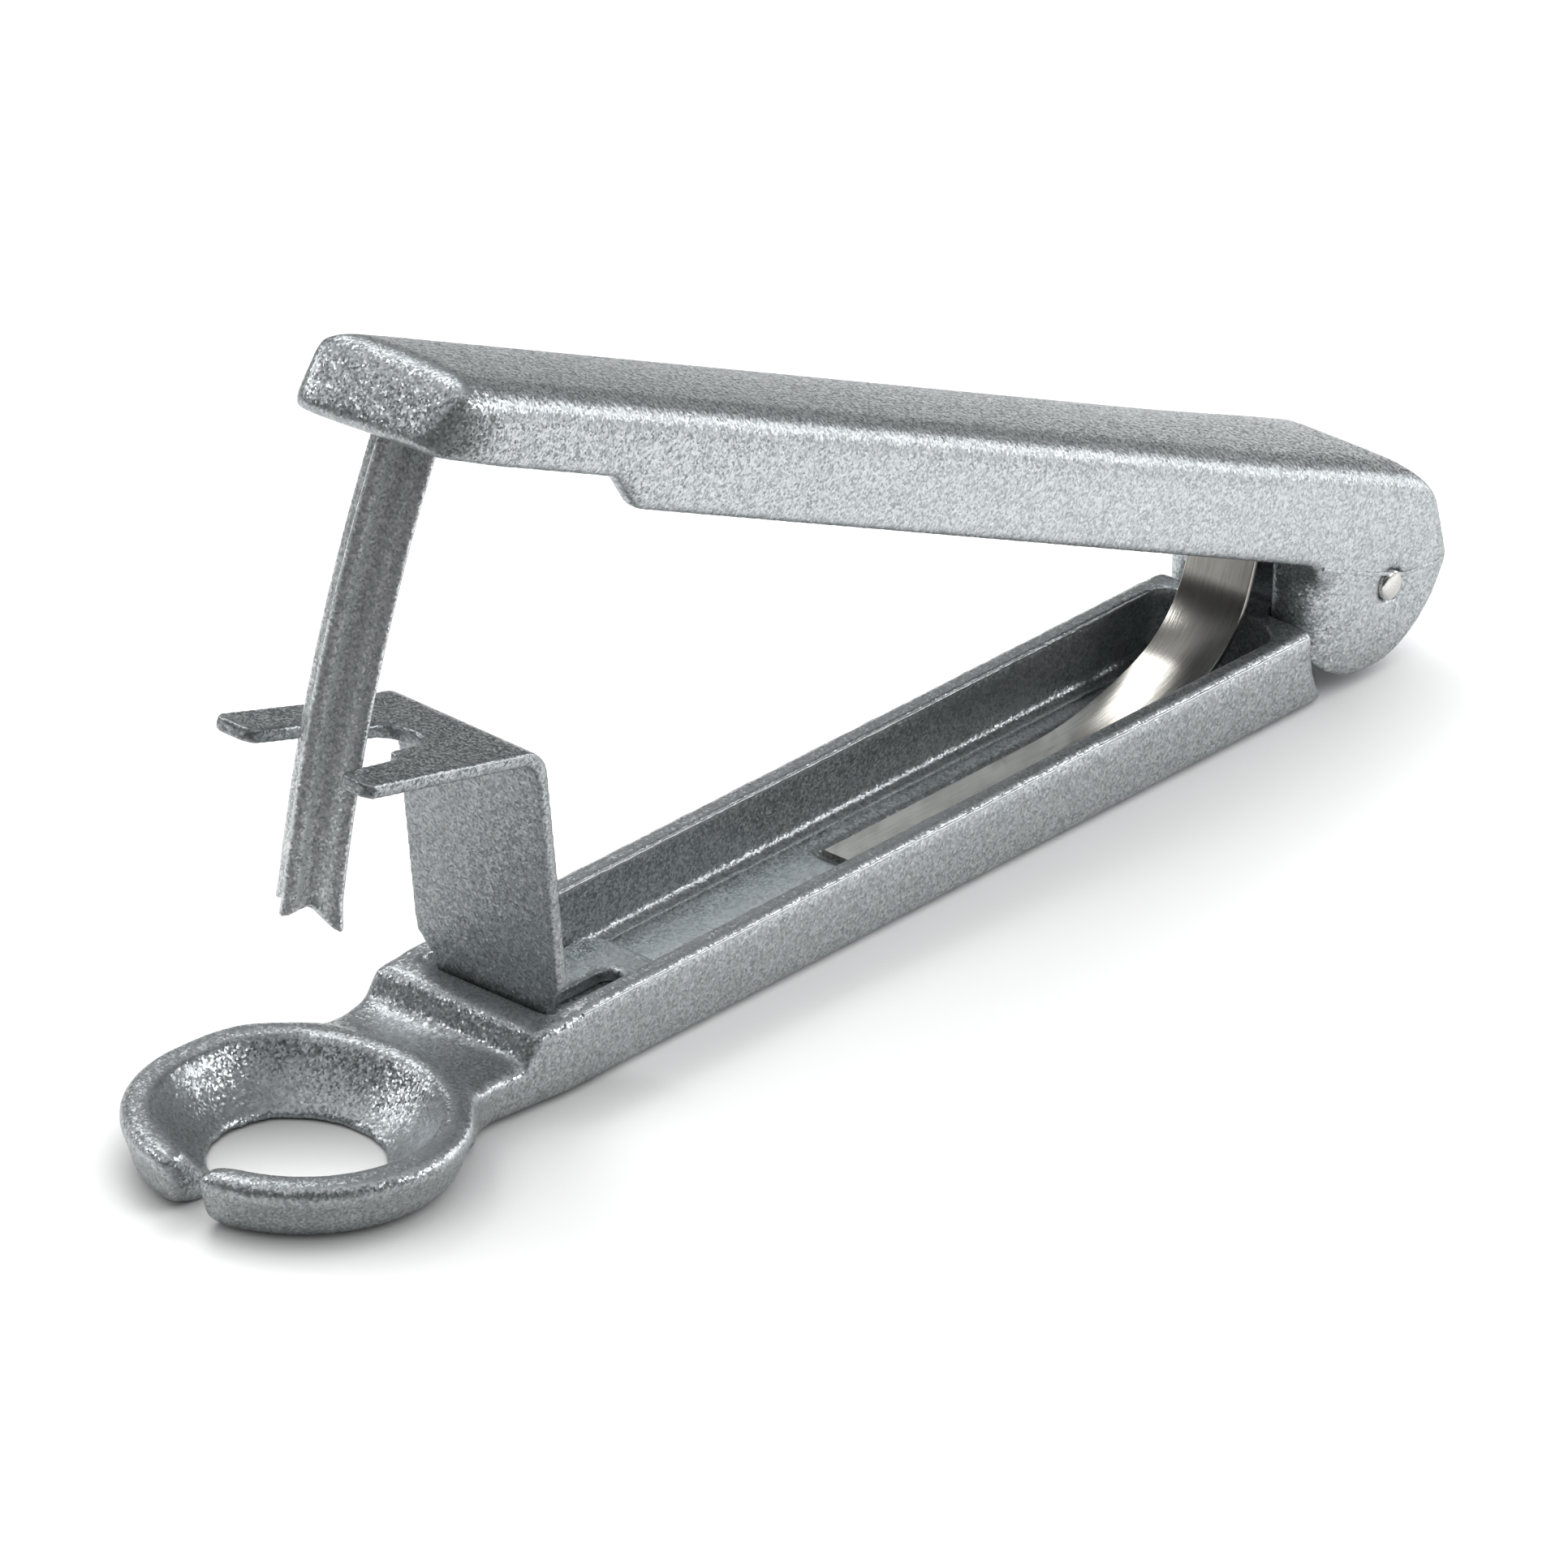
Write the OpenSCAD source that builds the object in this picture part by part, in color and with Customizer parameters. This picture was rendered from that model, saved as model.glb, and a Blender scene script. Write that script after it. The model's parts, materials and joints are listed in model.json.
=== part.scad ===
// Hand-held cherry pitter. Two cast arms turn on a hinge pin at the rear; a leaf
// spring holds them open, and a curved plunger drops through a slit cup at the front.
// Lengths are in millimetres, +Z is up and the front, with the cup, is towards -X.
// Places along X are measured from the hinge pin until the part is set on its origin.

/* [Lower arm] */
// Width of the arm across its two side walls
arm_w = 19.2; // [17.4:0.1:20.4]
// Height of the side walls above the table
arm_h = 8; // [7.5:0.1:8.4]
// Thickness of the side walls
wall_t = 2.2; // [1.8:0.1:2.8]
// Thickness of the channel floor
floor_t = 1.4; // [1.2:0.1:2]
// Height of the hinge pin above the table
pin_h = 9.1; // [8.9:0.1:9.8]
// Radius of the hollowed rear end of the side walls
arm_end_r = 9.5; // [9.4:0.1:10]
// Distance from the pin forward to the middle of that hollow
arm_end_dx = 2; // [1.9:0.1:2.3]
// Depth of that middle below the pin
arm_end_dz = 2.5; // [2:0.1:2.8]
// Thickness of the wall that closes the rear of the channel
end_wall_t = 2; // [1.8:0.1:3]
// Rounding of the lower edges
arm_edge_r = 1.5; // [0.8:0.1:2]
// Rounding of the upper edges
arm_top_r = 0.6; // [0.4:0.1:1]
// Rounding of the channel's rear corners
channel_corner_r = 3.2; // [1:0.1:5]
// Width of the tongue that turns between the ears
tongue_w = 6.2; // [5:0.1:6.8]
// Radius of the tongue round the pin
tongue_r = 4.6; // [3.6:0.1:5]

/* [Cup and neck] */
// Distance from the pin to the middle of the cup
cup_x = 145.5; // [140:0.5:152]
// Outer radius of the cup at its rim
cup_r = 16.2; // [15:0.1:18]
// Height of the rim above the table
cup_h = 6; // [5.4:0.1:6.6]
// Width of the rim outside the bowl
rim_w = 3; // [2:0.1:3.4]
// Rounding of the rim's outer edge
rim_r = 1.2; // [0.6:0.1:1.4]
// Radius of the hole that the stone drops through
hole_r = 8.1; // [7:0.1:9]
// Height of the short upright wall round the hole
hole_lip = 0.5; // [0.3:0.1:1]
// How far the cup's outer wall leans in below the rim
cup_taper = 0.9; // [0.2:0.1:1.4]
// Rounding of the cup's lower outer edge
cup_edge_r = 2.4; // [1.5:0.1:3]
// Width of the slit through the front of the cup
slit_w = 2.8; // [2:0.1:4]
// Width of the neck at its narrowest
neck_w = 17.2; // [16:0.1:17.3]
// Height of the neck's upper face above the table
neck_h = 4.9; // [4.2:0.1:5.3]
// Radius of the hollow between the neck and the cup
neck_fillet_r = 7; // [5:0.5:8]
// Length of the flat deck in front of the stripper
deck_len = 3.6; // [2.5:0.1:4.4]

/* [Stripper] */
// Thickness of the stripper's sheet
sheet_t = 1.4; // [1:0.1:1.6]
// Distance from the middle of the cup back to the plate's front face at the channel floor
plate_back = 27.3; // [26.5:0.1:28.5]
// Width of the plate
plate_w = 17; // [15.6:0.1:17.4]
// Forward lean of the plate in degrees
plate_lean = 9; // [6:0.5:11]
// Height of the corner between the plate and the fork above the table
fork_h = 36.4; // [34:0.1:36.6]
// Outer radius of the bend between the plate and the fork
bend_r = 3.8; // [2.4:0.1:4.4]
// Outer radius of the bend between the plate and the foot
foot_bend_r = 2; // [1.8:0.1:2.6]
// Rise of the fork towards its tips in degrees
fork_rise = 12.2; // [10:0.1:12.4]
// Length of the fork from its corner with the plate
fork_len = 24.6; // [23:0.1:26]
// Width of the fork's slot between the tines
slot_w = 8; // [7.7:0.1:8.6]
// Depth of the slot from the tips
slot_len = 9.6; // [8.6:0.1:11.4]
// Rounding of the slot's inner corners
slot_corner_r = 1.5; // [0.6:0.1:2]
// Width of the narrower throat at the slot's end
throat_w = 4.8; // [4.4:0.1:6]
// Depth of the throat's end from the tips
throat_len = 15.9; // [15:0.1:17]
// Rounding of the fork's tips
tine_r = 1.3; // [0.4:0.1:1.6]
// Length of the foot behind the plate, along the channel floor
foot_len = 21; // [14:0.5:24]
// Width of the slot in the foot
foot_slot_w = 2.4; // [1.6:0.1:4]
// Gap between the foot and the channel's side walls
foot_gap = 0.6; // [0.3:0.1:0.9]

/* [Lever] */
// Width of the lever
lever_w = 19.2; // [18:0.1:20.4]
// How far the lever's front face lies ahead of the middle of the plunger
nose_reach = 6.25; // [5:0.25:9]
// Height of the lever's top above the line through the pin
lever_top = 11.4; // [11:0.1:12.4]
// Height of the deep rear skirts' lower edge above that line
skirt_z = 1; // [0.8:0.1:1.6]
// Height of the shallow front's lower edge above that line
nose_z = 3.8; // [3.6:0.1:4.6]
// How far ahead of the stripper's plate the step between the two lies
step_ahead = 5.2; // [3.4:0.1:6.8]
// Rounding of the step and of the corner above the ears
step_r = 2.1; // [1:0.1:2.3]
// Thickness of the lever's skirts and top
skin_t = 2.2; // [1.6:0.1:2.6]
// Height of the crown across the top
crown_h = 0.6; // [0.3:0.1:1]
// Rounding of the long upper edges
lever_edge_r = 2.7; // [1:0.1:3]
// Rounding of the upright corners at the front
nose_corner_r = 3.9; // [1:0.1:4.4]
// How far the front face leans back from its lower edge
front_slope = 2.4; // [0.6:0.1:3]
// Length of the solid block at the front that holds the plunger
nose_block = 14; // [12:0.5:18]
// Radius of the ears' round lower ends
lobe_r = 11.7; // [11.2:0.1:11.8]
// Distance from the pin forward to the middle of that rounding
lobe_dx = 3.6; // [3.4:0.1:4]
// Height of the middle of that rounding above the pin
lobe_dz = 2.3; // [2.2:0.1:2.6]
// Radius of the rounded top at the rear
heel_r = 9.4; // [8.6:0.1:9.8]
// Distance from the pin forward to the middle of that rounded top
heel_dx = 3; // [2.6:0.1:3.6]
// Turn about the ears' rounding at which the straight slope behind the top ends, in degrees
heel_turn = 5; // [0:1:10]
// Distance from the pin to the upright front faces of the ears
ear_x = 10.9; // [10.4:0.1:11.1]
// Angle between the two arms at rest, in degrees
open_angle = 22.7; // [21.5:0.1:23.5]

/* [Plunger] */
// Width of the plunger across two opposite ribs
plunger_w = 7.2; // [6:0.1:7.4]
// Thickness of each rib
rib_t = 2; // [1.6:0.1:2.6]
// Radius of the core between the ribs
core_r = 2.7; // [2.2:0.1:2.9]
// Length of the plunger below the lever, in degrees about the pin
plunger_sweep = 18.2; // [16:0.1:18.8]
// Depth of the notches that leave a tooth at the tip of each rib
tooth_h = 2; // [1:0.1:3]
// Radius of the tenon that seats in the lever
tenon_r = 2; // [1.5:0.1:2.4]
// Length of the tenon
tenon_len = 4; // [2:0.1:4.4]

/* [Leaf spring] */
// Width of the spring
spring_w = 7.8; // [6:0.1:9]
// Thickness of the spring
spring_t = 0.6; // [0.4:0.1:0.7]
// Length of the straight leg in the channel floor
spring_leg = 30; // [24:0.5:34]
// Distance from the pin to the spring where its lower bend ends
spring_x = 14.6; // [14.2:0.1:15.4]
// Radius of the long, gentle rise from the floor
rise_r = 40; // [34:1:46]
// Radius of the lower bend
low_bend_r = 12; // [11:0.5:13]
// Radius of the bend inside the lever
top_bend_r = 4; // [3:0.5:5]
// Length of the straight leg inside the lever
top_leg = 28; // [15:0.5:40]

/* [Hinge pin] */
// Radius of the pin
pin_r = 1.5; // [1.2:0.05:1.8]
// Height of the domed ends beyond the lever's sides
dome_h = 0.4; // [0.2:0.1:0.8]

/* [Hidden] */
$fn = 64;
hull_fn = 32;
bowl_fn = 96;
overrun = 1;

// Clearances: the turning bore, a seated bore, and the gap round a piece set in another
turn_gap = 0.06;
seat_gap = 0.02;
loose_gap = 0.2;

// Colours of the metallic paint and of the bare steel
paint = [0.60, 0.62, 0.63];
steel = [0.78, 0.77, 0.75];

// Places along the arms, from the pin: the plate, the plunger's arc through the middle of
// the cup's hole, the lever's front face and the step in its lower edge
plate_x = cup_x - plate_back;
arc_r = norm([cup_x, pin_h - hole_lip]);
lever_len = arc_r + nose_reach;
step_x = plate_x + step_ahead;

// Channel between the side walls; the groove in its floor takes the spring
channel_w = arm_w - 2 * wall_t;
wall_end_x = arm_end_dx + arm_end_r;
channel_rear = wall_end_x + end_wall_t;
groove_depth = 0.8;
groove_gap = 0.25;
groove_run = 1.6;
ledge_w = 1.5;
ledge_h = 0.25;

// Plate of the stripper, drawn from the point where its front face meets the floor
turn_foot = 90 - plate_lean;
turn_fork = 90 - plate_lean - fork_rise;
plate_len = (fork_h - floor_t - sheet_t * sin(plate_lean)) / cos(plate_lean);
plate_straight = plate_len - bend_r * tan(turn_fork / 2);
fork_straight = fork_len - bend_r * tan(turn_fork / 2);
foot_w = channel_w - 2 * foot_gap;
foot_slot_start = 3 * sheet_t;
foot_slot_end = 0.8 * foot_len;
foot_corner_r = 2;
shoulder_z = (arm_h - floor_t) / cos(plate_lean) + 0.3 * sheet_t;
shoulder_h = 2.4;
plate_at_deck = plate_x + (arm_h - floor_t) * tan(plate_lean);

// Middle line of the sheet, as [x, z, heading], from the end of the foot to the tips
foot_tangent = foot_bend_r * tan(turn_foot / 2);
foot_mid_r = sheet_t / 2 - foot_bend_r;
fork_mid_r = bend_r - sheet_t / 2;
up_turn = 90 + plate_lean;
fork_turn = up_turn + turn_fork;
foot_start = [foot_tangent, sheet_t / 2];
plate_low = turn_end(foot_start, foot_mid_r, 180, up_turn);
plate_top = plate_low + (plate_straight - foot_tangent) * [cos(up_turn), sin(up_turn)];
fork_root = turn_end(plate_top, fork_mid_r, up_turn, fork_turn);
fork_tip = fork_root + fork_straight * [cos(fork_turn), sin(fork_turn)];
sheet_path = concat(
    [[foot_len, sheet_t / 2, 180]],
    turn(foot_start, foot_mid_r, 180, up_turn),
    turn(plate_top, fork_mid_r, up_turn, fork_turn),
    [[fork_tip.x, fork_tip.y, fork_turn]]
);

// Plan of the neck: a hollow fillet between its narrowest place and the cup
deck_front = plate_at_deck + deck_len;
deck_drop = arm_h - neck_h;
fillet_dy = neck_w / 2 + neck_fillet_r;
fillet_dx = sqrt(pow(cup_r + neck_fillet_r, 2) - pow(fillet_dy, 2));
fillet_x = cup_x - fillet_dx;
tangent_share = cup_r / (cup_r + neck_fillet_r);
tangent_x = cup_x - fillet_dx * tangent_share;
tangent_y = fillet_dy * tangent_share;
fillet_mid_x = (fillet_x + tangent_x) / 2;
fillet_mid_y = fillet_dy - sqrt(pow(neck_fillet_r, 2) - pow(fillet_mid_x - fillet_x, 2));

// Sections of the neck, rear to front: distance from the pin, half width, top height
slice_t = 0.1;
shoulder_share = 0.15;
neck_sections = [
    [plate_at_deck, arm_w / 2, arm_h],
    [deck_front, arm_w / 2 - deck_drop * shoulder_share, arm_h],
    [deck_front + deck_drop / 2, neck_w / 2 + deck_drop * shoulder_share, neck_h],
    [fillet_x, neck_w / 2, neck_h],
    [fillet_mid_x, fillet_mid_y, neck_h],
    [tangent_x, tangent_y, neck_h],
];

// The bowl is part of a sphere through the rim's inner edge and the top of the hole
bowl_rim_r = cup_r - rim_w;
bowl_z = (pow(bowl_rim_r, 2) - pow(hole_r, 2) + pow(cup_h, 2) - pow(hole_lip, 2))
    / (2 * (cup_h - hole_lip));
bowl_r = norm([hole_r, bowl_z - hole_lip]);

// Outline of the lever in its own frame, with the pin at the origin and the front at -X
lobe_c = [-lobe_dx, lobe_dz];
heel_c = [-heel_dx, lever_top - heel_r];
heel_low = lobe_c + lobe_r * [cos(heel_turn), sin(heel_turn)];
heel_span = heel_low - heel_c;
heel_high_turn = atan2(heel_span.y, heel_span.x) + acos(heel_r / norm(heel_span));
ear_dir = [sin(open_angle), -cos(open_angle)];
ear_base = [(-ear_x - skirt_z * sin(open_angle)) / cos(open_angle), skirt_z];
ear_off = lobe_c - ear_base;
ear_reach = ear_off * ear_dir;
ear_side = sqrt(pow(lobe_r, 2) - pow(ear_off.x * ear_dir.y - ear_off.y * ear_dir.x, 2));
ear_tip = ear_base + (ear_reach + ear_side) * ear_dir;
ear_turn = atan2(ear_tip.y - lobe_c.y, ear_tip.x - lobe_c.x);
lip_h = 0.7;
front_top_r = 3.4;
cavity_top = lever_top - crown_h - skin_t;
cavity_rear = (channel_rear + ear_x) / 2;
cavity_corner_r = 1.6;
ear_slot_w = tongue_w + 2 * loose_gap;
ear_slot_r = tongue_r + 2 * loose_gap;
crown_r = (pow(lever_w / 2, 2) + pow(crown_h, 2)) / (2 * crown_h);

// Turn of the plunger's root and tip about the pin, in the lever's own frame
root_angle = asin(nose_z / arc_r);
root_gap = 0.05;
tip_angle = root_angle - plunger_sweep;
notch_share = 0.92;
notch_w = notch_share * plunger_w * sin(45);

// Path of the spring's middle line, as [x, z, heading] in the frame of the lower arm:
// straight leg, gentle rise, lower bend, straight rise, bend inside the lever, top leg
rise_turn = 24;
low_turn = 73;
top_turn = 180 - open_angle;
rise_dx = rise_r * sin(rise_turn);
rise_dz = rise_r * (1 - cos(rise_turn));
low_dx = low_bend_r * (sin(low_turn) - sin(rise_turn));
low_dz = low_bend_r * (cos(rise_turn) - cos(low_turn));
leg_end = [-spring_x - low_dx - rise_dx, floor_t - groove_depth + spring_t / 2 - pin_h];
spring_front = leg_end.x - spring_leg;
bend_end = leg_end + [rise_dx + low_dx, rise_dz + low_dz];
bend_end_z = bend_end.x * sin(open_angle) + bend_end.y * cos(open_angle);
top_z = cavity_top - loose_gap - spring_t / 2;
lever_heading = low_turn + open_angle;
straight_rise = (top_z - bend_end_z - top_bend_r * (1 + cos(lever_heading))) / sin(lever_heading);
rise_end = bend_end + straight_rise * [cos(low_turn), sin(low_turn)];
spring_path = concat(
    [[spring_front, leg_end.y, 0]],
    turn(leg_end, rise_r, 0, rise_turn),
    turn(leg_end + [rise_dx, rise_dz], low_bend_r, rise_turn, low_turn),
    turn(rise_end, top_bend_r, low_turn, top_turn),
    [let (p = turn_end(rise_end, top_bend_r, low_turn, top_turn))
        [p.x + top_leg * cos(top_turn), p.y + top_leg * sin(top_turn), top_turn]]
);

// Rear end of the assembly; the origin lies midway between it and the front of the cup
rear_x = heel_low * [cos(open_angle), sin(open_angle)];
origin_x = (rear_x - cup_x - cup_r) / 2;

// Point where a left-hand turn of radius r ends, from heading a to heading b
function turn_end(p, r, a, b) = p + r * [sin(b) - sin(a), cos(a) - cos(b)];

// Points along that turn, each with its heading
function turn(p, r, a, b, n = 12) =
    [for (i = [0:n]) let (h = a + (b - a) * i / n, q = turn_end(p, r, a, h)) [q.x, q.y, h]];

// Both sides of a strip of thickness t along a path of [x, z, heading]
function strip(path, t) = concat(
    [for (p = path) [p.x - t / 2 * sin(p.z), p.y + t / 2 * cos(p.z)]],
    [for (i = [len(path) - 1:-1:0]) let (p = path[i])
        [p.x + t / 2 * sin(p.z), p.y - t / 2 * cos(p.z)]]
);

// Points on an arc about c, from angle a to angle b
function arc(c, r, a, b, n = 16) =
    [for (i = [0:n]) c + r * [cos(a + (b - a) * i / n), sin(a + (b - a) * i / n)]];

// Corner b between a and c, rounded with radius r
function corner(a, b, c, r, n = 6) =
    let (
        u = (a - b) / norm(a - b), v = (c - b) / norm(c - b),
        half = acos(u * v) / 2, w = (u + v) / norm(u + v),
        m = b + w * r / sin(half),
        from = b + u * r / tan(half) - m, to = b + v * r / tan(half) - m,
        a0 = atan2(from.y, from.x), raw = atan2(to.y, to.x) - a0,
        da = raw > 180 ? raw - 360 : raw < -180 ? raw + 360 : raw
    )
    [for (i = [0:n]) m + r * [cos(a0 + da * i / n), sin(a0 + da * i / n)]];

// Rounded rectangle standing on the X axis, with its own radii below and above
module section(w, h, low_r, top_r) {
    translate([-w / 2, low_r]) square([w, h - low_r - top_r]);
    translate([-w / 2 + low_r, 0]) square([w - 2 * low_r, h / 2]);
    translate([-w / 2 + top_r, h / 2]) square([w - 2 * top_r, h / 2]);
    for (side = [-1, 1]) {
        translate([side * (w / 2 - low_r), low_r]) circle(r = low_r);
        translate([side * (w / 2 - top_r), h - top_r]) circle(r = top_r);
    }
}

// Rectangle from x0 to x1, w wide, with round corners
module rounded_plan(x0, x1, w, r) {
    translate([x0 + r, -w / 2]) square([x1 - x0 - 2 * r, w]);
    translate([x0, -w / 2 + r]) square([x1 - x0, w - 2 * r]);
    for (x = [x0 + r, x1 - r], y = [-w / 2 + r, w / 2 - r]) translate([x, y]) circle(r = r);
}

// Extrusion of a YZ outline from x0 to x1
module along_x(x0, x1) {
    translate([x0, 0, 0]) rotate([90, 0, 90]) linear_extrude(x1 - x0) children();
}

// Extrusion of an XZ outline, w wide and centred on y = 0
module along_y(w) {
    rotate([90, 0, 0]) linear_extrude(w, center = true) children();
}

// Round bar along Y, centred on y = 0
module rod_y(r, w) {
    rotate([90, 0, 0]) cylinder(r = r, h = w, center = true);
}

// Moves a shape drawn round the pin to its place in the part
module at_pin() {
    translate([-origin_x, 0, pin_h]) children();
}

// Moves a shape drawn above the table to its place in the part
module on_table() {
    translate([-origin_x, 0, 0]) children();
}

// Lower arm: channel, deck, neck and cup, with a tongue for the hinge pin

module cup_outline() {
    foot_r = cup_r - cup_taper - cup_edge_r;
    polygon([
        [0, 0], [foot_r, 0], [foot_r + cup_edge_r, cup_edge_r], [cup_r, cup_h - rim_r],
        [cup_r - rim_r, cup_h], [0, cup_h],
    ]);
    translate([foot_r, cup_edge_r]) circle(r = cup_edge_r);
    translate([cup_r - rim_r, cup_h - rim_r]) circle(r = rim_r);
}

module cup() {
    translate([-cup_x, 0, 0]) rotate_extrude() intersection() {
        cup_outline();
        square([cup_r, cup_h]);
    }
}

module neck() {
    for (i = [0:len(neck_sections) - 2]) hull() for (s = [neck_sections[i], neck_sections[i + 1]])
        along_x(-s[0] - slice_t, -s[0]) section(2 * s[1], s[2], arm_edge_r, arm_top_r, $fn = hull_fn);
}

// Space between the walls, whose front end leans with the stripper's plate
module channel() {
    depth = arm_h - floor_t + overrun;
    front_x = -plate_x - loose_gap;
    translate([0, 0, floor_t]) linear_extrude(depth)
        rounded_plan(-plate_x + foot_bend_r, -channel_rear, channel_w, channel_corner_r);
    along_y(channel_w) polygon([
        [front_x, floor_t], [-channel_rear - channel_corner_r, floor_t],
        [-channel_rear - channel_corner_r, floor_t + depth],
        [front_x - depth * tan(plate_lean), floor_t + depth],
    ]);
}

// Shallow ledges along the foot of both walls, behind the stripper
module ledges() {
    x0 = -plate_x + foot_len + sheet_t;
    x1 = -channel_rear - channel_corner_r;
    for (side = [-1, 1])
        translate([x0, side * (channel_w - ledge_w) / 2 - ledge_w / 2, floor_t])
            cube([x1 - x0, ledge_w, ledge_h]);
}

// Groove that locates the spring's leg, cut through to where the spring has risen clear
module spring_groove() {
    translate([spring_front - groove_run, -spring_w / 2 - groove_gap, floor_t - groove_depth])
        cube([spring_leg + rise_dx + groove_run, spring_w + 2 * groove_gap, groove_depth + overrun]);
}

module tongue() {
    top_z = arm_h - pin_h - arm_top_r;
    root_x = -channel_rear + end_wall_t / 2;
    along_y(tongue_w) {
        circle(r = tongue_r);
        polygon([
            [0, -tongue_r], [-tongue_r, -tongue_r], [-cavity_rear, floor_t - pin_h],
            [root_x, floor_t - pin_h], [root_x, top_z], [-cavity_rear, top_z], [0, tongue_r],
        ]);
    }
}

module lower_arm() {
    color(paint) difference() {
        union() {
            on_table() difference() {
                union() {
                    along_x(-plate_at_deck - slice_t, -pin_r) section(arm_w, arm_h, arm_edge_r, arm_top_r);
                    neck();
                }
                translate([-arm_end_dx, 0, pin_h - arm_end_dz]) rod_y(arm_end_r, arm_w + overrun);
                channel();
            }
            on_table() cup();
            on_table() ledges();
            at_pin() tongue();
        }
        on_table() {
            translate([-cup_x, 0, bowl_z]) sphere(r = bowl_r, $fn = bowl_fn);
            translate([-cup_x, 0, -overrun]) cylinder(r = hole_r, h = cup_h);
            translate([-cup_x - cup_r - overrun, -slit_w / 2, -overrun])
                cube([cup_r, slit_w, cup_h + 2 * overrun]);
            spring_groove();
        }
        at_pin() rod_y(pin_r + turn_gap, tongue_w + overrun);
    }
}

// Lever: a long hollow cover with a solid nose in front and two ears at the hinge

module lever_side() {
    front_low = [-lever_len, nose_z + lip_h];
    front_top = [-lever_len + front_slope, lever_top];
    step_low = [-step_x + step_r, skirt_z];
    step_high = [-step_x - step_r, nose_z];
    polygon(concat(
        [[-lever_len + 2 * lip_h, nose_z], front_low],
        corner(front_low, front_top, [heel_c.x, lever_top], front_top_r),
        arc(heel_c, heel_r, 90, heel_high_turn),
        arc(lobe_c, lobe_r, heel_turn, ear_turn, 32),
        corner(ear_tip, ear_base, step_low, step_r),
        corner(ear_base, step_low, step_high, step_r),
        corner(step_low, step_high, [-lever_len, nose_z], step_r)
    ));
}

// Cross-section of the lever, with a low crown between round edges
module lever_section() {
    side_top = lever_top - crown_h - lever_edge_r;
    translate([-lever_w / 2, -2 * lobe_r]) square([lever_w, 2 * lobe_r + side_top]);
    intersection() {
        translate([0, lever_top - crown_r]) circle(r = crown_r, $fn = 4 * bowl_fn);
        union() {
            translate([-lever_w / 2 + lever_edge_r, 0])
                square([lever_w - 2 * lever_edge_r, lever_top]);
            for (side = [-1, 1])
                translate([side * (lever_w / 2 - lever_edge_r), side_top]) circle(r = lever_edge_r);
        }
    }
}

module lever_cavity() {
    translate([0, 0, -2 * lobe_r]) linear_extrude(2 * lobe_r + cavity_top)
        rounded_plan(-lever_len + nose_block, -cavity_rear, lever_w - 2 * skin_t, cavity_corner_r);
}

// Slot between the ears, in which the tongue of the lower arm turns
module ear_slot() {
    along_y(ear_slot_w) {
        circle(r = ear_slot_r);
        translate([-cavity_rear - overrun, -2 * lobe_r])
            square([cavity_rear + overrun + ear_slot_r, 2 * lobe_r]);
        translate([-cavity_rear - overrun, 0]) square([cavity_rear + overrun, ear_slot_r]);
    }
}

module lever() {
    color(paint) at_pin() rotate([0, open_angle, 0]) difference() {
        intersection() {
            along_y(lever_w) lever_side();
            along_x(-lever_len, lobe_r) lever_section();
            translate([0, 0, -2 * lobe_r]) linear_extrude(4 * lobe_r)
                rounded_plan(-lever_len, 2 * lobe_r, lever_w, nose_corner_r);
        }
        lever_cavity();
        ear_slot();
        rod_y(pin_r + seat_gap, lever_w + overrun);
        on_arc(root_angle) cylinder(r = tenon_r + seat_gap, h = tenon_len + loose_gap);
    }
}

// Plunger: four ribs on a core, swept about the pin

// Places a shape on the plunger's arc, upright there, at an angle above the lever's line
module on_arc(angle) {
    rotate([0, angle, 0]) translate([-arc_r, 0, 0]) children();
}

// Cross-section of the plunger: ribs with round ends, and a round core between them
module plunger_section() {
    circle(r = core_r);
    for (turn_z = [0, 90]) rotate(turn_z) {
        square([plunger_w - rib_t, rib_t], center = true);
        for (side = [-1, 1]) translate([side * (plunger_w - rib_t) / 2, 0]) circle(r = rib_t / 2);
    }
}

module plunger() {
    color(paint) at_pin() rotate([0, open_angle, 0]) {
        difference() {
            rotate([90, 0, 0]) rotate(180 - root_angle + root_gap)
                rotate_extrude(angle = plunger_sweep - root_gap) translate([arc_r, 0]) plunger_section();
            on_arc(tip_angle) for (turn_z = [45, 135]) rotate([0, 0, turn_z]) along_y(2 * plunger_w)
                polygon([[-notch_w, -tooth_h], [notch_w, -tooth_h], [0, tooth_h]]);
        }
        on_arc(root_angle) translate([0, 0, -tenon_len]) cylinder(r = tenon_r - seat_gap, h = 2 * tenon_len);
    }
}

// Stripper: one bent sheet with a foot in the channel, a leaning plate and a fork

// What is cut from the end of a strip, w wide and ending at y, to round its corners
module corner_cut(w, y, r) {
    difference() {
        translate([-w, y - r]) square([2 * w, 2 * r]);
        translate([-w / 2 + r, y - 2 * r]) square([w - 2 * r, 2 * r]);
        for (side = [-1, 1]) translate([side * (w / 2 - r), y - r]) circle(r = r);
    }
}

// What is cut from the plate and the foot to make them fit between the walls
module shoulder_cut() {
    low = foot_w / 2;
    for (side = [-1, 1]) polygon([
        [side * low, -plate_w], [side * low, shoulder_z],
        [side * (plate_w - low), shoulder_z + 2 * shoulder_h],
        [side * plate_w, shoulder_z + 2 * shoulder_h], [side * plate_w, -plate_w],
    ]);
}

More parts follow.
